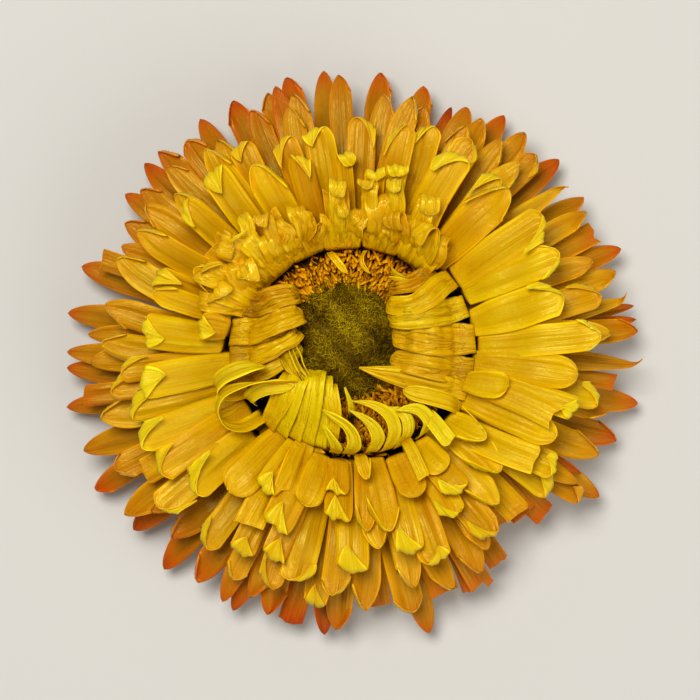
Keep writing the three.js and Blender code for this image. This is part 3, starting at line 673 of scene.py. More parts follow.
def addRow(name, bracts):
    index = list(rows).index(name)
    level = index / (len(rows) - 1)
    lower = index < head["goldRows"]
    tone, blush = rowLooks[name]
    pieces = []
    for angle, reach, width, form, *rest in bracts:
        change = rest[0] if rest else {}
        random = np.random.default_rng(int(angle * 10) + 1000 * index)
        side = math.radians(angle)
        # redder at the top and bottom of the head, less so at its right: partly the flower's own colour,
        # partly painted light for how light falls on each side
        sideToneAndLight = 0.05 * math.sin(side) ** 2 - 0.05 * max(math.cos(side), 0)
        spec = bractSpec(form, width, change.get("tone", tone) + sideToneAndLight, blush, random)
        lean = change.get("lean", random.uniform(-2.5, 2.5))
        foot = math.radians(angle - lean)
        foldAt = head["hingeRadius"] if lower else ringRadius(foot) + random.uniform(-0.2, 0.5)
        foldAt = change.get("ring", foldAt)
        hinge = bladeHeight(level, foldAt)
        outward = outwardAt(foot)
        clawFoot = min(head["rimHeight"] - head["rimStep"] * (len(rows) - 1 - index), hinge - 0.4)
        tilt = random.uniform(-0.5, 0.5) * (reach - foldAt) / 18
        stations = [head["wallRadius"] * outward + up * clawFoot, foldAt * outward + up * hinge]
        if not lower:
            stations.insert(1, (foldAt - 0.05) * outward + up * (hinge - 1.5))
        spec["claw"] = evenly(np.array(stations), 0.5)[0][-1]
        reach += spec.get("extra", 0)
        for s in np.linspace(0, 1, 12)[1:]:
            radius = foldAt + (reach - foldAt) * s
            turned = foot + math.radians(lean) * s ** 1.3
            stations.append(radius * outwardAt(turned) + up * (bladeHeight(level, radius) + tilt * s * s))
        spec["base"] = 0.45 if lower else random.uniform(0.66, 0.8)
        spec["clawWidth"] = 0.5
        roll = -random.uniform(2, 11)  # one edge of each bract lies over its neighbour
        spec["rolls"] = [0, roll * 0.5, roll, roll, roll * random.uniform(0.2, 1.6)]
        spec["pleats"] = random.uniform(1.0, 2.6)
        pieces.append(copySheet("coarse" if index < sheets["coarseRows"] else "fine"))
        shapeSheet(pieces[-1], stations, acrossAt(foot), spec, random)
    finishPiece(pieces, name, [paperFront, paperBack], sheets["thickness"])


for rowName, rowBracts in rows.items():
    addRow(rowName, rowBracts)
print("long bracts done")


# Inner bracts that dried folded over the disc, each along its own line, from the foot of its claw to its
# tip. rolls turn the sheet about its line, in degrees. A strip is (foot angle, crest x, y, z, width, rolled
# length). A strand is (width, line).
innerBracts = {
    "left_inner_bract": {
        "slot": "gold_bract", "tone": 0.27, "dry": 0.5, "turned": True, "form": "inner",
        "bracts": [
            {"width": 3.6, "dry": 0.8, "tone": 0.36, "folds": 0.26, "rolls": [0, 0, 10, 0], "line": [
                (-11.4, 4.9, 10.4), (-13.4, 5.9, 13.6), (-13.6, 6.0, 15.2), (-12.2, 5.9, 16.0),
                (-11.4, 6.1, 16.8), (-9.6, 6.9, 17.8), (-7.4, 7.2, 17.4), (-6.8, 7.2, 16.2)]},
            {"width": 4.3, "dry": 0.4, "folds": 0.08, "rolls": [0, 0, -8, 10], "line": [
                (-12.3, 2.2, 10.4), (-14.6, 2.5, 13.8), (-14.9, 2.6, 15.3), (-12.6, 2.8, 16.0),
                (-12.2, 2.9, 16.8), (-9.8, 3.9, 18.4), (-7.2, 4.7, 18.0), (-6.3, 5.0, 16.4)]},
            {"width": 4.0, "dry": 0.55, "rolls": [0, 0, 6, -12], "line": [
                (-12.4, -0.4, 10.4), (-14.7, -0.4, 13.6), (-15.0, -0.4, 15.0), (-12.7, -0.1, 15.6),
                (-12.3, 0.0, 16.4), (-10.0, 1.0, 17.6), (-7.6, 2.3, 17.3), (-6.8, 2.9, 15.8)]},
            {"width": 3.0, "dry": 0.7, "line": [
                (-12.2, -2.6, 10.4), (-14.2, -3.0, 13.6), (-14.3, -3.0, 14.8), (-12.4, -2.6, 15.4),
                (-12.0, -2.5, 16.2), (-9.8, -1.4, 17.0), (-7.4, 0.2, 16.8),
                (-6.6, 1.0, 15.4)], "strands": [
                (1.9, [(-9.0, 0.2, 16.8), (-8.0, -0.9, 17.6), (-7.0, -2.2, 18.4), (-6.0, -3.5, 19.0)]),
                (0.4, [(-7.6, 1.0, 17.2), (-6.9, -0.4, 17.7), (-6.4, -1.8, 18.2), (-5.4, -3.2, 18.8)]),
                (0.4, [(-7.2, 1.2, 17.0), (-6.5, -0.1, 17.4), (-6.0, -1.4, 17.9), (-5.0, -3.0, 18.6)]),
                (0.4, [(-7.9, 0.7, 17.5), (-7.3, -0.6, 18.1), (-6.8, -2.0, 18.6), (-5.8, -3.3, 19.1)])]},
        ],
    },
    "right_inner_bract": {
        "slot": "gold_bract", "tone": 0.28, "dry": 0.45, "turned": True, "form": "inner",
        "bracts": [
            {"width": 2.6, "dry": 0.6, "tone": 0.4, "folds": 0.2, "line": [
                (8.4, 9.0, 10.4), (10.0, 10.4, 14), (9.6, 9.9, 16.0), (7.3, 8.7, 17.2),
                (5.4, 8.2, 16.9), (4.9, 8.1, 15.8)], "strands": [
                (0.55, [(7.2, 8.9, 17.4), (5.6, 9.2, 17.2), (4.4, 9.3, 16.4)]),
                (0.55, [(6.6, 9.3, 17.3), (5.3, 10.0, 17.2), (4.9, 10.8, 16.6)])]},
            {"width": 3.3, "dry": 0.3, "rolls": [0, 0, 14, 24, 10], "line": [
                (9.8, 7.4, 10.4), (12.0, 9.1, 14.0), (12.3, 9.2, 15.4), (11.0, 8.4, 17.2),
                (9.2, 6.9, 18.6), (7.0, 5.9, 18.2), (5.0, 5.9, 17.2), (4.5, 6.2, 16.0)]},
            {"width": 3.6, "dry": 0.5, "rolls": [0, 0, -6, 6], "line": [
                (11.2, 4.7, 10.4), (13.6, 5.7, 13.8), (14.0, 5.8, 15.2), (12.0, 5.2, 15.8),
                (11.5, 5.1, 16.8), (9.2, 4.7, 18.8), (6.2, 4.3, 18.4), (4.5, 4.5, 16.4)]},
            {"width": 4.6, "dry": 0.5, "rolls": [0, 0, 6, -8], "line": [
                (12.3, 1.6, 10.4), (14.8, 1.8, 13.8), (15.1, 1.8, 15.2), (12.7, 1.7, 15.7),
                (12.2, 1.7, 16.4), (10.0, 1.7, 18.1), (7.2, 2.0, 18.0), (5.0, 2.4, 16.2)]},
            {"width": 3.8, "dry": 0.55, "rolls": [0, 0, -8, 8], "line": [
                (12.3, -1.9, 10.4), (14.7, -2.1, 13.8), (14.9, -2.1, 15.0), (12.6, -1.9, 15.5),
                (12.1, -1.9, 16.2), (10.2, -1.6, 17.6), (7.2, -1.1, 17.5), (4.8, -0.8, 16.0)]},
            {"width": 3.0, "form": "needle", "dry": 0.35, "line": [
                (11.8, -4.2, 10.4), (14.1, -4.8, 13.6), (14.2, -4.8, 15.0), (12.4, -4.3, 15.6),
                (11.9, -4.2, 16.2), (10.0, -3.9, 16.9), (6.4, -3.0, 16.8), (0.9, -1.8, 16.4)]},
            {"width": 2.2, "form": "point", "dry": 0.1, "tone": 0.2, "rolls": [0, 0, 14, 20, 10], "line": [
                (11.0, -6.0, 10.4), (13.1, -7.1, 13.8), (13.2, -6.9, 15.4), (12.2, -6.2, 17.2),
                (10.6, -5.6, 18.2), (8.7, -5.1, 18.6), (6.3, -4.6, 17.9)]},
            {"width": 2.0, "form": "flat", "dry": 0.0, "tone": 0.2, "rolls": [0, 0, 0, 10], "line": [
                (9.4, -8.0, 10.4), (9.3, -7.6, 15.4), (9.6, -7.9, 18.0), (10.9, -9.5, 18.9),
                (12.2, -11.1, 19.2)]},
        ],
    },
    "fan_bract": {
        "slot": "lemon_bract", "tone": 0.12, "dry": 0.25, "turned": True, "form": "strip",
        "bracts": [
            {"width": 2.9, "line": [
                (-9.4, -7.8, 10.4), (-10.4, -8.9, 13.6), (-10.4, -8.8, 15.4), (-9.3, -6.6, 17.6),
                (-7.9, -4.0, 18.5), (-6.9, -2.6, 17.0)]},
            {"width": 2.7, "rolls": [0, 0, 8, 0], "line": [
                (-8.0, -8.9, 10.4), (-8.8, -9.9, 13.6), (-8.8, -9.8, 15.4), (-7.9, -6.8, 18.0),
                (-6.9, -3.8, 18.8), (-6.1, -2.3, 17.2)]},
            {"width": 2.6, "rolls": [0, 0, -8, 0], "line": [
                (-6.6, -9.7, 10.4), (-7.2, -10.5, 13.6), (-7.2, -10.4, 15.4), (-6.4, -6.8, 17.8),
                (-5.7, -3.5, 18.4), (-5.2, -2.1, 16.8)]},
            {"width": 2.6, "rolls": [0, 0, 6, 0], "line": [
                (-5.2, -10.3, 10.4), (-5.6, -11.0, 13.6), (-5.6, -10.9, 15.4), (-5.0, -6.8, 18.2),
                (-4.6, -3.4, 18.8), (-4.4, -2.2, 17.2)]},
            {"width": 2.5, "rolls": [0, 0, -6, 0], "line": [
                (-3.8, -10.7, 10.4), (-4.1, -11.4, 13.6), (-4.1, -11.3, 15.4), (-3.7, -6.8, 17.8),
                (-3.6, -4.0, 18.2), (-3.6, -2.9, 16.6)]},
            {"width": 2.3, "line": [
                (-2.6, -10.9, 10.4), (-2.7, -11.6, 13.6), (-2.7, -11.5, 15.4), (-2.4, -7.8, 18.0),
                (-2.7, -5.2, 18.2), (-2.9, -4.1, 17.0)]},
        ],
    },
    "curled_bract": {
        "slot": "lemon_bract", "tone": 0.24, "blush": 0.06, "form": "point",
        "bracts": [
            {"width": 2.5, "rolls": [0, 0, 20, 35, 25, 0], "line": [
                (-11.9, -4.2, 10.4), (-12.8, -4.6, 15), (-15.2, -4.9, 17.4), (-16.9, -4.1, 18.9),
                (-15.7, -2.7, 19.8), (-13.2, -1.9, 20.0), (-10.6, -1.7, 19.5)]},
            {"width": 2.3, "rolls": [0, 0, 30, 45, 35, 15, 0], "line": [
                (-10.4, -7.1, 10.4), (-11.2, -7.8, 15.2), (-13.6, -9, 17.2), (-15.9, -8.6, 18.4),
                (-16.8, -6.8, 19.2), (-15.8, -5, 19.8), (-13.2, -4.1, 20.2), (-10, -3.6, 20.1),
                (-6.8, -3.5, 19.4)]},
            {"width": 1.8, "rolls": [0, 0, 30, 30, 10], "line": [
                (-11.2, -5.7, 10.4), (-12.2, -6.0, 15.4), (-12.7, -5.6, 17.8), (-11.6, -4.7, 18.8),
                (-9.6, -4.2, 19.2), (-7.2, -4.0, 19.2)]},
        ],
    },
    "hooked_bract": {
        "slot": "lemon_bract", "tone": 0.24, "form": "claw", "width": 1.9,
        "rolls": [0, 0, -10, -25, -30],
        "bracts": [
            {"line": [
                (-0.6, -11.6, 10.4), (-0.7, -12.4, 14.6), (-0.3, -12.2, 16.6), (0.3, -11.0, 18.3),
                (-0.5, -9.2, 19.2), (-3.6, -7.0, 19.4)]},
            {"width": 1.6, "rolls": [0, 0, -10, -20], "line": [
                (-2.0, -11.5, 10.4), (-2.3, -12.3, 14.6), (-2.0, -12.1, 16.4), (-1.9, -11.5, 18.0),
                (-2.5, -10.5, 18.9), (-3.7, -8.8, 19.3)]},
            {"width": 0.8, "rolls": [0, 0], "line": [
                (-0.3, -10.4, 13.5), (-0.3, -9.8, 15.2), (-0.1, -6.6, 17), (-0.9, -4.2, 17.6)]},
            {"line": [
                (1.8, -11.4, 10.4), (2.1, -12.2, 14.6), (2.6, -11.9, 16.6), (3.2, -10.4, 18.1),
                (2.3, -8.7, 18.6), (-0.3, -7.0, 18.2)]},
            {"line": [
                (3.4, -11.2, 10.4), (3.9, -12.0, 14.6), (4.5, -11.6, 16.6), (5.3, -9.9, 18.4),
                (4.7, -7.8, 19), (2.7, -6.4, 18.9), (0.0, -5.9, 18.5)]},
            {"line": [
                (5.0, -10.7, 10.4), (5.6, -11.6, 14.6), (6.2, -11.0, 16.4), (6.9, -9.4, 17.7),
                (6.3, -7.5, 17.9), (3.6, -6.7, 17.6)]},
            {"width": 2.0, "line": [
                (7.4, -9.2, 10.4), (8.3, -10.2, 14.6), (9.0, -9.7, 16.8), (9.5, -8.3, 18.1),
                (8, -6.9, 18.6), (5.3, -7.0, 18.8)]},
        ],
    },
    "short_bract": {
        "slot": "lemon_bract", "tone": 0.24,
        "bracts": [
            {"width": 1.7, "form": "round", "line": [
                (1.2, -12.3, 10.4), (1.0, -12.6, 16.8), (1.3, -13.6, 18.5), (1.9, -15.6, 18.7)]},
            {"width": 1.6, "form": "flat", "line": [
                (6.6, -10.6, 10.4), (6.7, -10.8, 17.0), (7.7, -12.8, 18.9), (8.9, -15.5, 19.6)]},
        ],
    },
    "crumpled_bract": {
        "slot": "gold_bract", "tone": 0.28, "dry": 0.1, "form": "wall", "width": 5.0,
        "bracts": [
            {"width": 5.2, "dry": 0.3, "foot": 56, "strips": [
                (48, 10.9, 13.4, 19.2, 1.6, 0), (52, 9.7, 14.7, 19.8, 2.6, 2.0),
                (57, 7.6, 15.8, 19.2, 2.2, 0), (59, 9.3, 18.4, 19.9, 2.5, 1.8)]},
            {"dry": 0.35, "foot": 75, "strips": [
                (66, 5.6, 16.5, 19.8, 2.6, 1.5), (71, 5.4, 20.4, 20.1, 1.9, 1.2),
                (78, 3.2, 18.2, 19.6, 3.4, 0), (82, 2.2, 20.4, 20.0, 2.2, 0.9),
                (74, 4.4, 14.9, 18.2, 2.4, 0)]},
            {"dry": 0.4, "foot": 95, "strips": [
                (97, -1.8, 20.2, 20.0, 2.1, 1.5), (94, -1.3, 17.7, 19.4, 1.5, 1.3),
                (87, 0.8, 16.6, 18.8, 2.8, 0)], "strands": [
                (1.2, [(-2.8, 12.5, 14.4), (-2.3, 11.8, 15.7), (-1.6, 11.0, 15.9), (-0.5, 9.8, 15.5)]),
                (0.7, [(1.7, 12.7, 14.4), (1.2, 12.0, 15.7), (1.3, 11.0, 15.9), (2.2, 9.9, 15.5)])]},
            {"dry": 0.4, "foot": 114, "strips": [
                (108, -4.3, 14.9, 18.7, 1.3, 1.2), (115, -6.8, 17.0, 19.4, 2.4, 0),
                (117, -7.4, 14.6, 18.8, 2.2, 0), (121, -9.2, 15.4, 19.2, 2.4, 0)]},
            {"width": 5.2, "dry": 0.35, "foot": 132, "strips": [
                (124, -10.4, 16.2, 20.0, 1.7, 1.4), (129, -10.2, 13.6, 19.0, 2.8, 0),
                (134, -12.6, 13.6, 19.4, 3.0, 0), (138, -12.4, 10.6, 18.6, 2.8, 1.6),
                (131, -12.9, 15.9, 19.6, 1.8, 0)], "strands": [
                (0.7, [(-15.6, 12.9, 20.2), (-14.9, 13.7, 20.8), (-14.0, 14.4, 21.0), (-12.8, 15.1, 20.8)])]},
            {"dry": 0.3, "foot": 147, "strips": [
                (141, -15.6, 13.2, 19.6, 3.4, 1.5), (144, -14.2, 10.4, 18.8, 3.2, 0),
                (150, -17.6, 9.8, 19.2, 3.4, 0), (153, -16.2, 7.6, 18.6, 3.2, 1.2),
                (158, -17.6, 6.2, 18.2, 2.4, 0)], "strands": [
                (0.7, [(-18.6, 9.9, 19.9), (-17.9, 10.6, 20.4), (-17.0, 10.9, 20.6), (-15.9, 11.0, 20.4)])]},
        ],
    },
}

strips = {
    "wallRadius": 13.4, "startHeight": 15.4, "clawLength": 3.0, "claw": 0.1, "dry": 0.35,
    "folds": 0.08, "foldsPerWidth": 1.1, "crumple": 0.13, "creases": 1.7, "roll": 24,
}
# The line that a strip follows up the wall: outwards from the ring, and height, in mm.
wallLine = [(-0.3, 12.0), (0, 14.6), (1.0, 16.4), (2.8, 17.8), (4.4, 18.6)]


# A ribbon from the ring to a crest, where its end rolls over.
def addStrip(foot, x, y, z, width, rolled, tone, random):
    spec = bractSpec("scroll" if rolled else "sheet", width, tone, 0.0, random)
    angle = math.radians(foot)
    crest = np.array([x, y, z])
    reach = min(ringRadius(angle), strips["wallRadius"]) + random.uniform(0.4, 1.2)
    start = reach * outwardAt(angle) + up * strips["startHeight"]
    ahead = (crest - start) * [1, 1, 0]
    ahead = ahead / np.linalg.norm(ahead)
    bow = acrossAt(angle) * random.uniform(-0.8, 0.8)
    stations = [start - 0.5 * ahead - up * 3.5, start]
    for share, climb, swing in ((0.3, 0.55, 0.8), (0.7, 0.88, 1.0)):
        stations.append(start + (crest - start) * [share, share, climb] + bow * swing)
    stations.append(crest)
    if rolled:
        radius = random.uniform(0.42, 0.6)
        rolled += math.pi * radius * 0.7
        stations.append(crest + ahead * rolled - up * 0.3 * rolled)
        spec.update(fold=(rolled, random.uniform(-22, 22), radius, random.uniform(155, 195)))
    else:
        stations += [crest + ahead * 0.9 - up * 0.35, crest + ahead * 1.5 - up * 1.3]
    spec.update(
        claw=strips["clawLength"], clawShare=strips["claw"],
        dark=0.0, base=0.7, clawWidth=0.7, dry=strips["dry"],
        camber=random.uniform(-0.3, 0.4), folds=strips["folds"], foldCount=strips["foldsPerWidth"] * width,
        crumple=strips["crumple"], creases=strips["creases"])
    spec["rolls"] = [0, 0, *(random.uniform(-1, 1, 3) * strips["roll"])]
    piece = copySheet("ribbon")
    shapeSheet(piece, curve(stations), acrossAt(angle), spec, random)
    return piece


def addStrand(width, line, across, random):
    spec = bractSpec("point", width, 0.24, 0.0, random)
    if width > 1.5:
        spec.update(folds=0.14, foldCount=4.0, dry=0.6)
    spec.update(claw=0.2, base=0.7, clawWidth=0.6, end=0.7, blunt=0.9)
    spec["rolls"] = [0, random.uniform(-60, 60), random.uniform(-60, 60)]
    piece = copySheet("shred")
    shapeSheet(piece, curve(line), across, spec, random)
    return piece


def addInnerBract(name, bract, seed):
    random = np.random.default_rng(seed)
    spec = bractSpec(bract["form"], bract["width"], bract["tone"], bract["blush"], random)
    line = bract.get("line")
    wall = line is None
    if wall:
        foot = math.radians(bract["foot"])
        around = min(ringRadius(foot), strips["wallRadius"]) - 0.1
        line = [(around + out) * outwardAt(foot) + up * z for out, z in wallLine]
    spec.update(dry=bract["dry"], base=0.85, clawWidth=0.8, camber=0.0, rolls=bract["rolls"], brownTo=5.7)
    spec["folds"] = bract.get("folds", spec.get("folds", 0))
    if wall:
        spec.update(claw=2.2, clawShare=0.2, dark=0.25)
    else:
        spec.update(claw=abs(head["clawTop"] - line[0][2]) * 1.15, clawShare=0.24)
    x, y, _ = line[0]
    across = np.array([-y, x, 0]) / math.hypot(x, y)
    pieces = [copySheet("inner")]
    shapeSheet(pieces[0], curve(line), across, spec, random)
    for strip in bract.get("strips", []):
        pieces.append(addStrip(*strip, bract["tone"] + random.uniform(-0.06, 0.06), random))
    for width, strand in bract.get("strands", []):
        pieces.append(addStrand(width, strand, across, random))
    materials = [paperBack, paperFront] if bract.get("turned") else [paperFront, paperBack]
    finishPiece(pieces, name, [crushedPaper] * 2 if wall else materials, sheets["thickness"])


for familyName, family in innerBracts.items():
    for number, bract in enumerate(family["bracts"], 1):
        bract = {"blush": 0.0, "dry": 0.0, "rolls": [0, 0], **family, **bract}
        addInnerBract(f"{familyName}_{number}", bract, 500 + 31 * number + len(familyName))
print("inner bracts done")


# Florets and husk: dry plant fibre, matt and nearly without gloss, darker towards the ground by its tone.
fibre = {
    "grain": 900.0,  # grains about 1 mm across
    "grainTone": 0.35, "bumpDepth": 0.03, "gloss": 0.25, "ior": 1.4, "shineColour": "#f0d890",
}


def fibreMaterial(name, stops, roughness):
    material, tree = newMaterial(name)
    tone = addNode(tree, "Attribute", attribute_name="tone", output="Fac")
    place = addNode(tree, "TexCoord", output="Object")
    noise = addNode(tree, "TexNoise", {"Vector": place, "Scale": fibre["grain"], "Detail": 3.0})
    swing = addNode(tree, "Math", (noise, 0.5), operation="SUBTRACT")
    varied = addNode(tree, "Math", (swing, fibre["grainTone"], tone), operation="MULTIPLY_ADD")
    bump = addNode(tree, "Bump", {"Strength": 0.6, "Distance": fibre["bumpDepth"] * mm, "Height": noise})
    husk = addNode(tree, "BsdfPrincipled", {
        "Roughness": roughness, "IOR": fibre["ior"], "Specular IOR Level": fibre["gloss"],
        "Specular Tint": toLinear(fibre["shineColour"]),
        "Base Color": addNode(tree, "ValToRGB", (varied,), stops=stops), "Normal": bump})
    addNode(tree, "OutputMaterial", {"Surface": husk})
    return material


furMaterial = fibreMaterial(
    "dried corolla fibre", [(0.0, "#3e2a02"), (0.3, "#8e6c04"), (0.6, "#c0a204"), (1.0, "#ecd010")], 0.6)
floretMaterial = fibreMaterial("dried floret tube", [
    (0.0, "#241002"), (0.16, "#643402"), (0.38, "#c87e04"), (0.70, "#f4b208"), (1.0, "#ffd820")], 0.5)
huskMaterial = fibreMaterial(
    "dry brown husk", [(0.0, "#3d2410"), (0.4, "#6b4420"), (0.7, "#8f6634"), (1.0, "#b8935a")], 0.7)


# Closed florets: a low dome of curly olive fibres, with the brown ground showing between them.
disc = {
    "centre": (-0.7, 2.0), "radius": 8.0, "edge": 13.2, "top": 15.6, "foot": 10.35,
    "fibres": 4000, "fibreLength": (0.7, 1.4), "fibreWidth": 0.15, "curl": 2.2,
}


def domeHeight(fraction):  # height of the disc at a fraction of its radius
    return disc["edge"] + (disc["top"] - disc["edge"]) * (1 - fraction ** 2.4)


def newStrand(name, sides, radii, cuts):  # a straight tapering strand along +X, one unit long
    bpy.ops.object.select_all(action="DESELECT")
    bpy.ops.mesh.primitive_cone_add(
        vertices=sides, radius1=radii[0], radius2=radii[1], depth=1, end_fill_type="TRIFAN",
        location=(0.5, 0, 0), rotation=(0, math.pi / 2, 0))
    strand = bpy.context.object
    strand.name = name
    bpy.ops.object.transform_apply()
    bpy.ops.object.mode_set(mode="EDIT")
    for cut in cuts:
        bpy.ops.mesh.select_all(action="SELECT")
        bpy.ops.mesh.bisect(plane_co=(cut, 0, 0), plane_no=(1, 0, 0))
    bpy.ops.object.mode_set(mode="OBJECT")
    return strand


def scatter(name, master, placeCopy, count):  # one mesh of many copies of a master, each placed in code
    corners, faces = readMesh(master)
    points, tones, shape = [], [], []
    for i in range(count):
        placed, tone = placeCopy(corners, i)
        shape += [tuple(v + i * len(corners) for v in face) for face in faces]
        points.append(placed)
        tones.append(np.broadcast_to(tone, len(corners)))
    bpy.data.objects.remove(master)
    mesh = bpy.data.meshes.new(name)
    mesh.from_pydata((np.vstack(points) * mm).tolist(), [], shape)
    piece = linkToScene(bpy.data.objects.new(name, mesh))
    setPoints(piece, "tone", np.concatenate(tones))
    return piece


def bent(corners, start, heading, lift, length, curl, turn):  # a strand bent into an arc on its place
    angle = corners[:, 0] * curl
    out = length / curl * np.sin(angle)
    side = length / curl * (1 - np.cos(angle))
    ahead = outwardAt(heading) * math.cos(lift) + up * math.sin(lift)
    flat = acrossAt(heading)
    bendTo = flat * math.cos(turn) + np.cross(ahead, flat) * math.sin(turn)
    binormal = np.cross(ahead, bendTo)
    normal = -np.sin(angle)[:, None] * ahead + np.cos(angle)[:, None] * bendTo
    place = start + out[:, None] * ahead + side[:, None] * bendTo
    return place + corners[:, 1:2] * normal + corners[:, 2:3] * binormal


def addClosedFlorets():
    bpy.ops.object.select_all(action="DESELECT")
    bpy.ops.mesh.primitive_cylinder_add(vertices=64, radius=1, depth=1, end_fill_type="TRIFAN")
    ground = bpy.context.object
    bpy.ops.object.mode_set(mode="EDIT")
    bpy.ops.mesh.select_all(action="SELECT")
    bpy.ops.mesh.subdivide(number_cuts=5)
    bpy.ops.object.mode_set(mode="OBJECT")
    corners, _ = readMesh(ground)
    cx, cy = disc["centre"]
    x, y, z = corners.T
    lumps = 0.12 * np.sin(x * 31) * np.sin(y * 29)
    top = domeHeight(np.clip(np.hypot(x, y), 0, 1)) - 0.35 + lumps
    height = np.where(z > -0.49, disc["foot"] + (z + 0.5) * (top - disc["foot"]), disc["foot"])
    radius = disc["radius"] - 0.25
    shaped = np.column_stack([cx + x * radius, cy + y * radius, height])
    ground.data.vertices.foreach_set("co", (shaped * mm).ravel())
    setPoints(ground, "tone", np.full(len(corners), 0.08))
    random = np.random.default_rng(21)
    golden = math.pi * (3 - math.sqrt(5))

    def placeFibre(corners, i):
        fraction = math.sqrt((i + 0.5) / disc["fibres"])
        px, py, _ = disc["radius"] * fraction * outwardAt(i * golden)
        start = np.array([cx + px, cy + py, domeHeight(fraction) - 0.45])
        heading = random.uniform(0, 2 * math.pi)
        length = random.uniform(*disc["fibreLength"])
        lift = random.uniform(0.15, 1.0)
        curl = random.uniform(0.6, 1.3) * disc["curl"] * random.choice([-1, 1])
        placed = bent(corners, start, heading, lift, length, curl, random.uniform(-0.9, 0.9))
        patch = 0.28 * math.sin(px * 0.55 + 1.2) * math.cos(py * 0.5 - 0.6)
        patch += 0.2 * math.sin(px * 1.3 + py * 1.1)
        dark = math.exp(-((px - 3.6) ** 2 + (py + 1.4) ** 2) / 5)
        dark += 0.7 * math.exp(-((px + 3.5) ** 2 + (py + 5.2) ** 2) / 4)
        tone = np.clip(0.5 + patch - 0.4 * dark + random.uniform(-0.3, 0.3), 0, 1)
        return placed, tone * (0.45 + 0.55 * corners[:, 0])

    width = disc["fibreWidth"]
    strand = newStrand("fibre", 3, (width / 2, width / 9), (0.2, 0.4, 0.6, 0.8))
    fur = scatter("fur", strand, placeFibre, disc["fibres"])
    finishPiece([ground, fur], "closed_florets", [furMaterial])


addClosedFlorets()
print("closed florets done")


# Open florets: small orange tubes that stand in rows round the disc, over a near-black bed, its colour
# painted shade between the florets.
ring = {
    "bedRadius": 12.95, "bedTop": 13.4, "foot": 10.35, "clear": 8.3,
    "florets": 1900, "floretLength": (1.8, 2.8), "floretWidth": 0.42, "innermost": 7.2, "sideShare": 0.3,
    "styles": 620, "styleLength": (1.2, 2.4), "styleWidth": 0.15,
    "tube": ([0, 0.45, 0.72, 0.9, 1], [0.30, 0.42, 0.54, 0.40, 0.10]),  # radius along a floret, in widths
}


def newFloret():  # a small tube, swollen above the middle and nearly closed at its tip
    floret = newStrand("floret", 6, (0.5, 0.12), ring["tube"][0][1:-1])
    corners, _ = readMesh(floret)
    around = np.arctan2(corners[:, 2], corners[:, 1])
    reach = np.hypot(corners[:, 1], corners[:, 2])
    profile = np.interp(corners[:, 0], *ring["tube"]) * (1 + 0.12 * np.cos(3 * around))
    corners[:, 1] = np.where(reach > 1e-4, np.cos(around) * profile, 0)
    corners[:, 2] = np.where(reach > 1e-4, np.sin(around) * profile, 0)
    floret.data.vertices.foreach_set("co", corners.ravel())
    return floret


def addBed():  # a flattened ring under the florets, off centre inside and round outside
    bpy.ops.object.select_all(action="DESELECT")
    bpy.ops.mesh.primitive_torus_add(
        major_segments=72, minor_segments=16, major_radius=1, minor_radius=0.2, location=(0, 0, 0))
    bed = bpy.context.object
    corners, _ = readMesh(bed)
    around = np.arctan2(corners[:, 1], corners[:, 0])
    across = (np.hypot(corners[:, 0], corners[:, 1]) - 1) / 0.2
    direction = np.column_stack([np.cos(around), np.sin(around)])
    inner = disc["centre"] + ring["clear"] * direction
    plan = inner + (ring["bedRadius"] * direction - inner) * ((across + 1) / 2)[:, None]
    height = ring["foot"] + (ring["bedTop"] - ring["foot"]) * (corners[:, 2] / 0.2 + 1) / 2
    height += 0.15 * np.sin(around * 37) * (corners[:, 2] > 0)
    bed.data.vertices.foreach_set("co", (np.column_stack([plan, height]) * mm).ravel())
    # the bed is coloured near black: painted shade between the florets
    setPoints(bed, "tone", np.full(len(corners), -0.1))
    return bed


def addOpenFlorets():
    random = np.random.default_rng(33)
    cx, cy = disc["centre"]

    def spot(low, high):  # a place on the bed, fewer of them under the inner bracts at both sides
        while True:
            angle = random.uniform(0, 2 * math.pi)
            radius = math.sqrt(random.uniform(low * low, high * high))
            if abs(math.cos(angle)) > 0.82 and random.uniform(0, 1) > ring["sideShare"]:
                continue
            px, py = radius * math.cos(angle), radius * math.sin(angle)
            if math.hypot(px - cx, py - cy) > ring["clear"] - 0.2:
                return px, py, math.atan2(cy - py, cx - px)

    def placeFloret(corners, i):
        px, py, inwards = spot(ring["innermost"], ring["bedRadius"] + 0.25)
        length = random.uniform(*ring["floretLength"])
        shape = corners * [1, ring["floretWidth"], ring["floretWidth"]]
        heading = inwards + random.normal(0, 0.5)
        start = np.array([px, py, ring["bedTop"] - 0.5])
        lift = np.interp(math.hypot(px, py), [10, 12.6], [0.4, 0.8]) + random.uniform(-0.3, 0.25)
        placed = bent(shape, start, heading, lift, length, random.uniform(-0.6, 0.6), 1.5)
        return placed, np.clip(random.uniform(0.08, 0.6) + 0.5 * (corners[:, 0] - 0.6), 0, 1)

    def placeStyle(corners, i):
        px, py, inwards = spot(ring["innermost"] - 0.2, ring["bedRadius"])
        heading = inwards + random.normal(0, 0.6)
        start = np.array([px, py, ring["bedTop"] - 0.4])
        lift = random.uniform(0.2, 1.1)
        length = random.uniform(*ring["styleLength"])
        curl = random.uniform(-0.9, 0.9)
        placed = bent(corners, start, heading, lift, length, curl, random.uniform(-1.5, 1.5))
        return placed, random.uniform(0.3, 0.9)

    bed = addBed()
    florets = scatter("florets", newFloret(), placeFloret, ring["florets"])
    width = ring["styleWidth"]
    style = newStrand("style", 4, (width / 2, width / 9), (0.25, 0.5, 0.75))
    styles = scatter("styles", style, placeStyle, ring["styles"])
    finishPiece([bed, florets, styles], "open_florets", [floretMaterial])


addOpenFlorets()
print("open florets done")


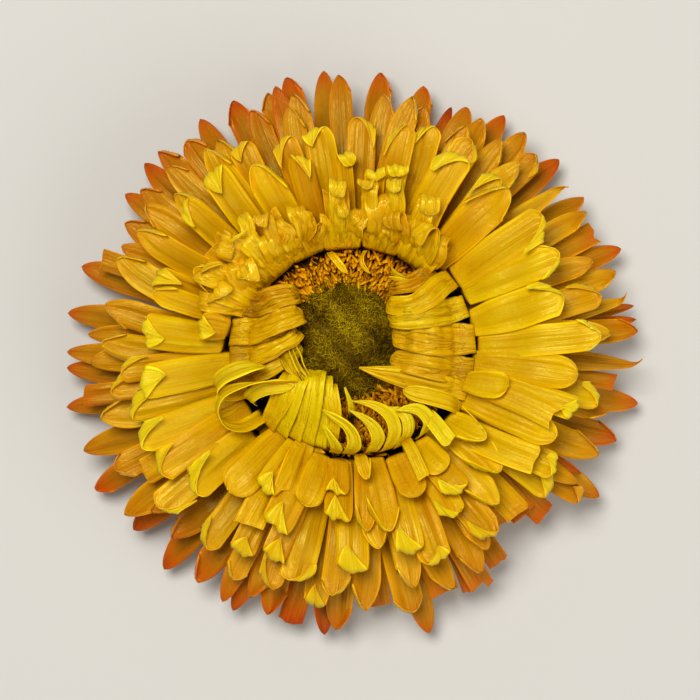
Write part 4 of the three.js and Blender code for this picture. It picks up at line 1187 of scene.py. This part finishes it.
# Underside: the receptacle with its scar, and three rows of short brown scales.
underside = {
    "outline": [(0, 0.25), (1.6, 0.1), (3.1, 0.02), (3.4, 0.5), (6.3, 0.85), (9.3, 2.3), (11.6, 4.2),
                (12.6, 6.0), (12.6, 9.5), (12.0, 10.0), (0, 10.0)],
    "steps": 96, "rib": 0.12, "ribCount": 26, "scarRadius": 3.2, "ribbedTo": 9,
}
scaleRows = {
    "scale_row_inner": {"count": 10, "turn": 0, "collar": (8.4, 1.0), "reach": 11.8, "width": 3.2},
    "scale_row_middle": {"count": 12, "turn": 9, "collar": (10.7, 2.5), "reach": 14.8, "width": 3.6},
    "scale_row_outer": {"count": 14, "turn": 4, "collar": (12.5, 4.2), "reach": 17.6, "width": 3.8},
}


def addReceptacle():
    bpy.ops.object.select_all(action="DESELECT")
    bpy.ops.mesh.primitive_circle_add(vertices=3, radius=1)
    piece = bpy.context.object
    outline = [(r * mm, 0, z * mm) for r, z in underside["outline"]]
    piece.data.clear_geometry()
    piece.data.from_pydata(outline, [(i, i + 1) for i in range(len(outline) - 1)], [])
    bpy.ops.object.mode_set(mode="EDIT")
    bpy.ops.mesh.select_all(action="SELECT")
    bpy.ops.mesh.subdivide(number_cuts=3)
    bpy.ops.mesh.spin(steps=underside["steps"], angle=2 * math.pi, center=(0, 0, 0), axis=(0, 0, 1))
    bpy.ops.mesh.select_all(action="SELECT")
    bpy.ops.mesh.remove_doubles(threshold=0.00001)
    bpy.ops.mesh.normals_make_consistent(inside=False)
    bpy.ops.object.mode_set(mode="OBJECT")
    corners, _ = readMesh(piece)
    around = np.arctan2(corners[:, 1], corners[:, 0])
    radius = np.hypot(corners[:, 0], corners[:, 1])
    ribs = np.sin(around * underside["ribCount"])
    swell = underside["rib"] * mm * (ribs + 0.6 * np.sin(around * 41 + corners[:, 2] * 900))
    swell *= np.clip(radius / (6 * mm), 0, 1) * (corners[:, 2] < underside["ribbedTo"] * mm)
    factor = np.where(radius > 1e-6, 1 - np.abs(swell) / np.maximum(radius, 1e-6), 1)
    corners[:, :2] *= factor[:, None]
    piece.data.vertices.foreach_set("co", corners.ravel())
    setPoints(piece, "tone", 0.4 + 0.25 * ribs + np.where(radius < underside["scarRadius"] * mm, 0.35, 0))
    finishPiece([piece], "receptacle", [huskMaterial])


def addScaleRow(name, row):
    pieces = []
    for n in range(row["count"]):
        random = np.random.default_rng(700 + n + row["count"])
        angle = math.radians(row["turn"] + n * 360 / row["count"])
        outward = outwardAt(angle)
        radius, height = row["collar"]
        reach = row["reach"] + random.uniform(-0.3, 0)
        stations = curve([
            (radius - 0.6) * outward + up * (height + 0.25), radius * outward + up * height,
            (radius + reach) / 2 * outward + up * (0.62 * height + 0.3), reach * outward + up * 0.3])
        spec = bractSpec("point", row["width"], 0.5, 0.0, random)
        spec.update(claw=0.6, clawShare=0.06, base=0.7, clawWidth=0.6, rolls=[0, 0], end=0.6, camber=0.25)
        piece = copySheet("scale")
        shapeSheet(piece, stations, acrossAt(angle), spec, random)
        setPoints(piece, "tone", np.full(len(piece.data.vertices), random.uniform(0.35, 0.75)))
        pieces.append(piece)
    finishPiece(pieces, name, [huskMaterial], sheets["scaleThickness"])


addReceptacle()
for scaleName, scaleRow in scaleRows.items():
    addScaleRow(scaleName, scaleRow)
for master in masters.values():
    bpy.data.objects.remove(master)
print("underside done")
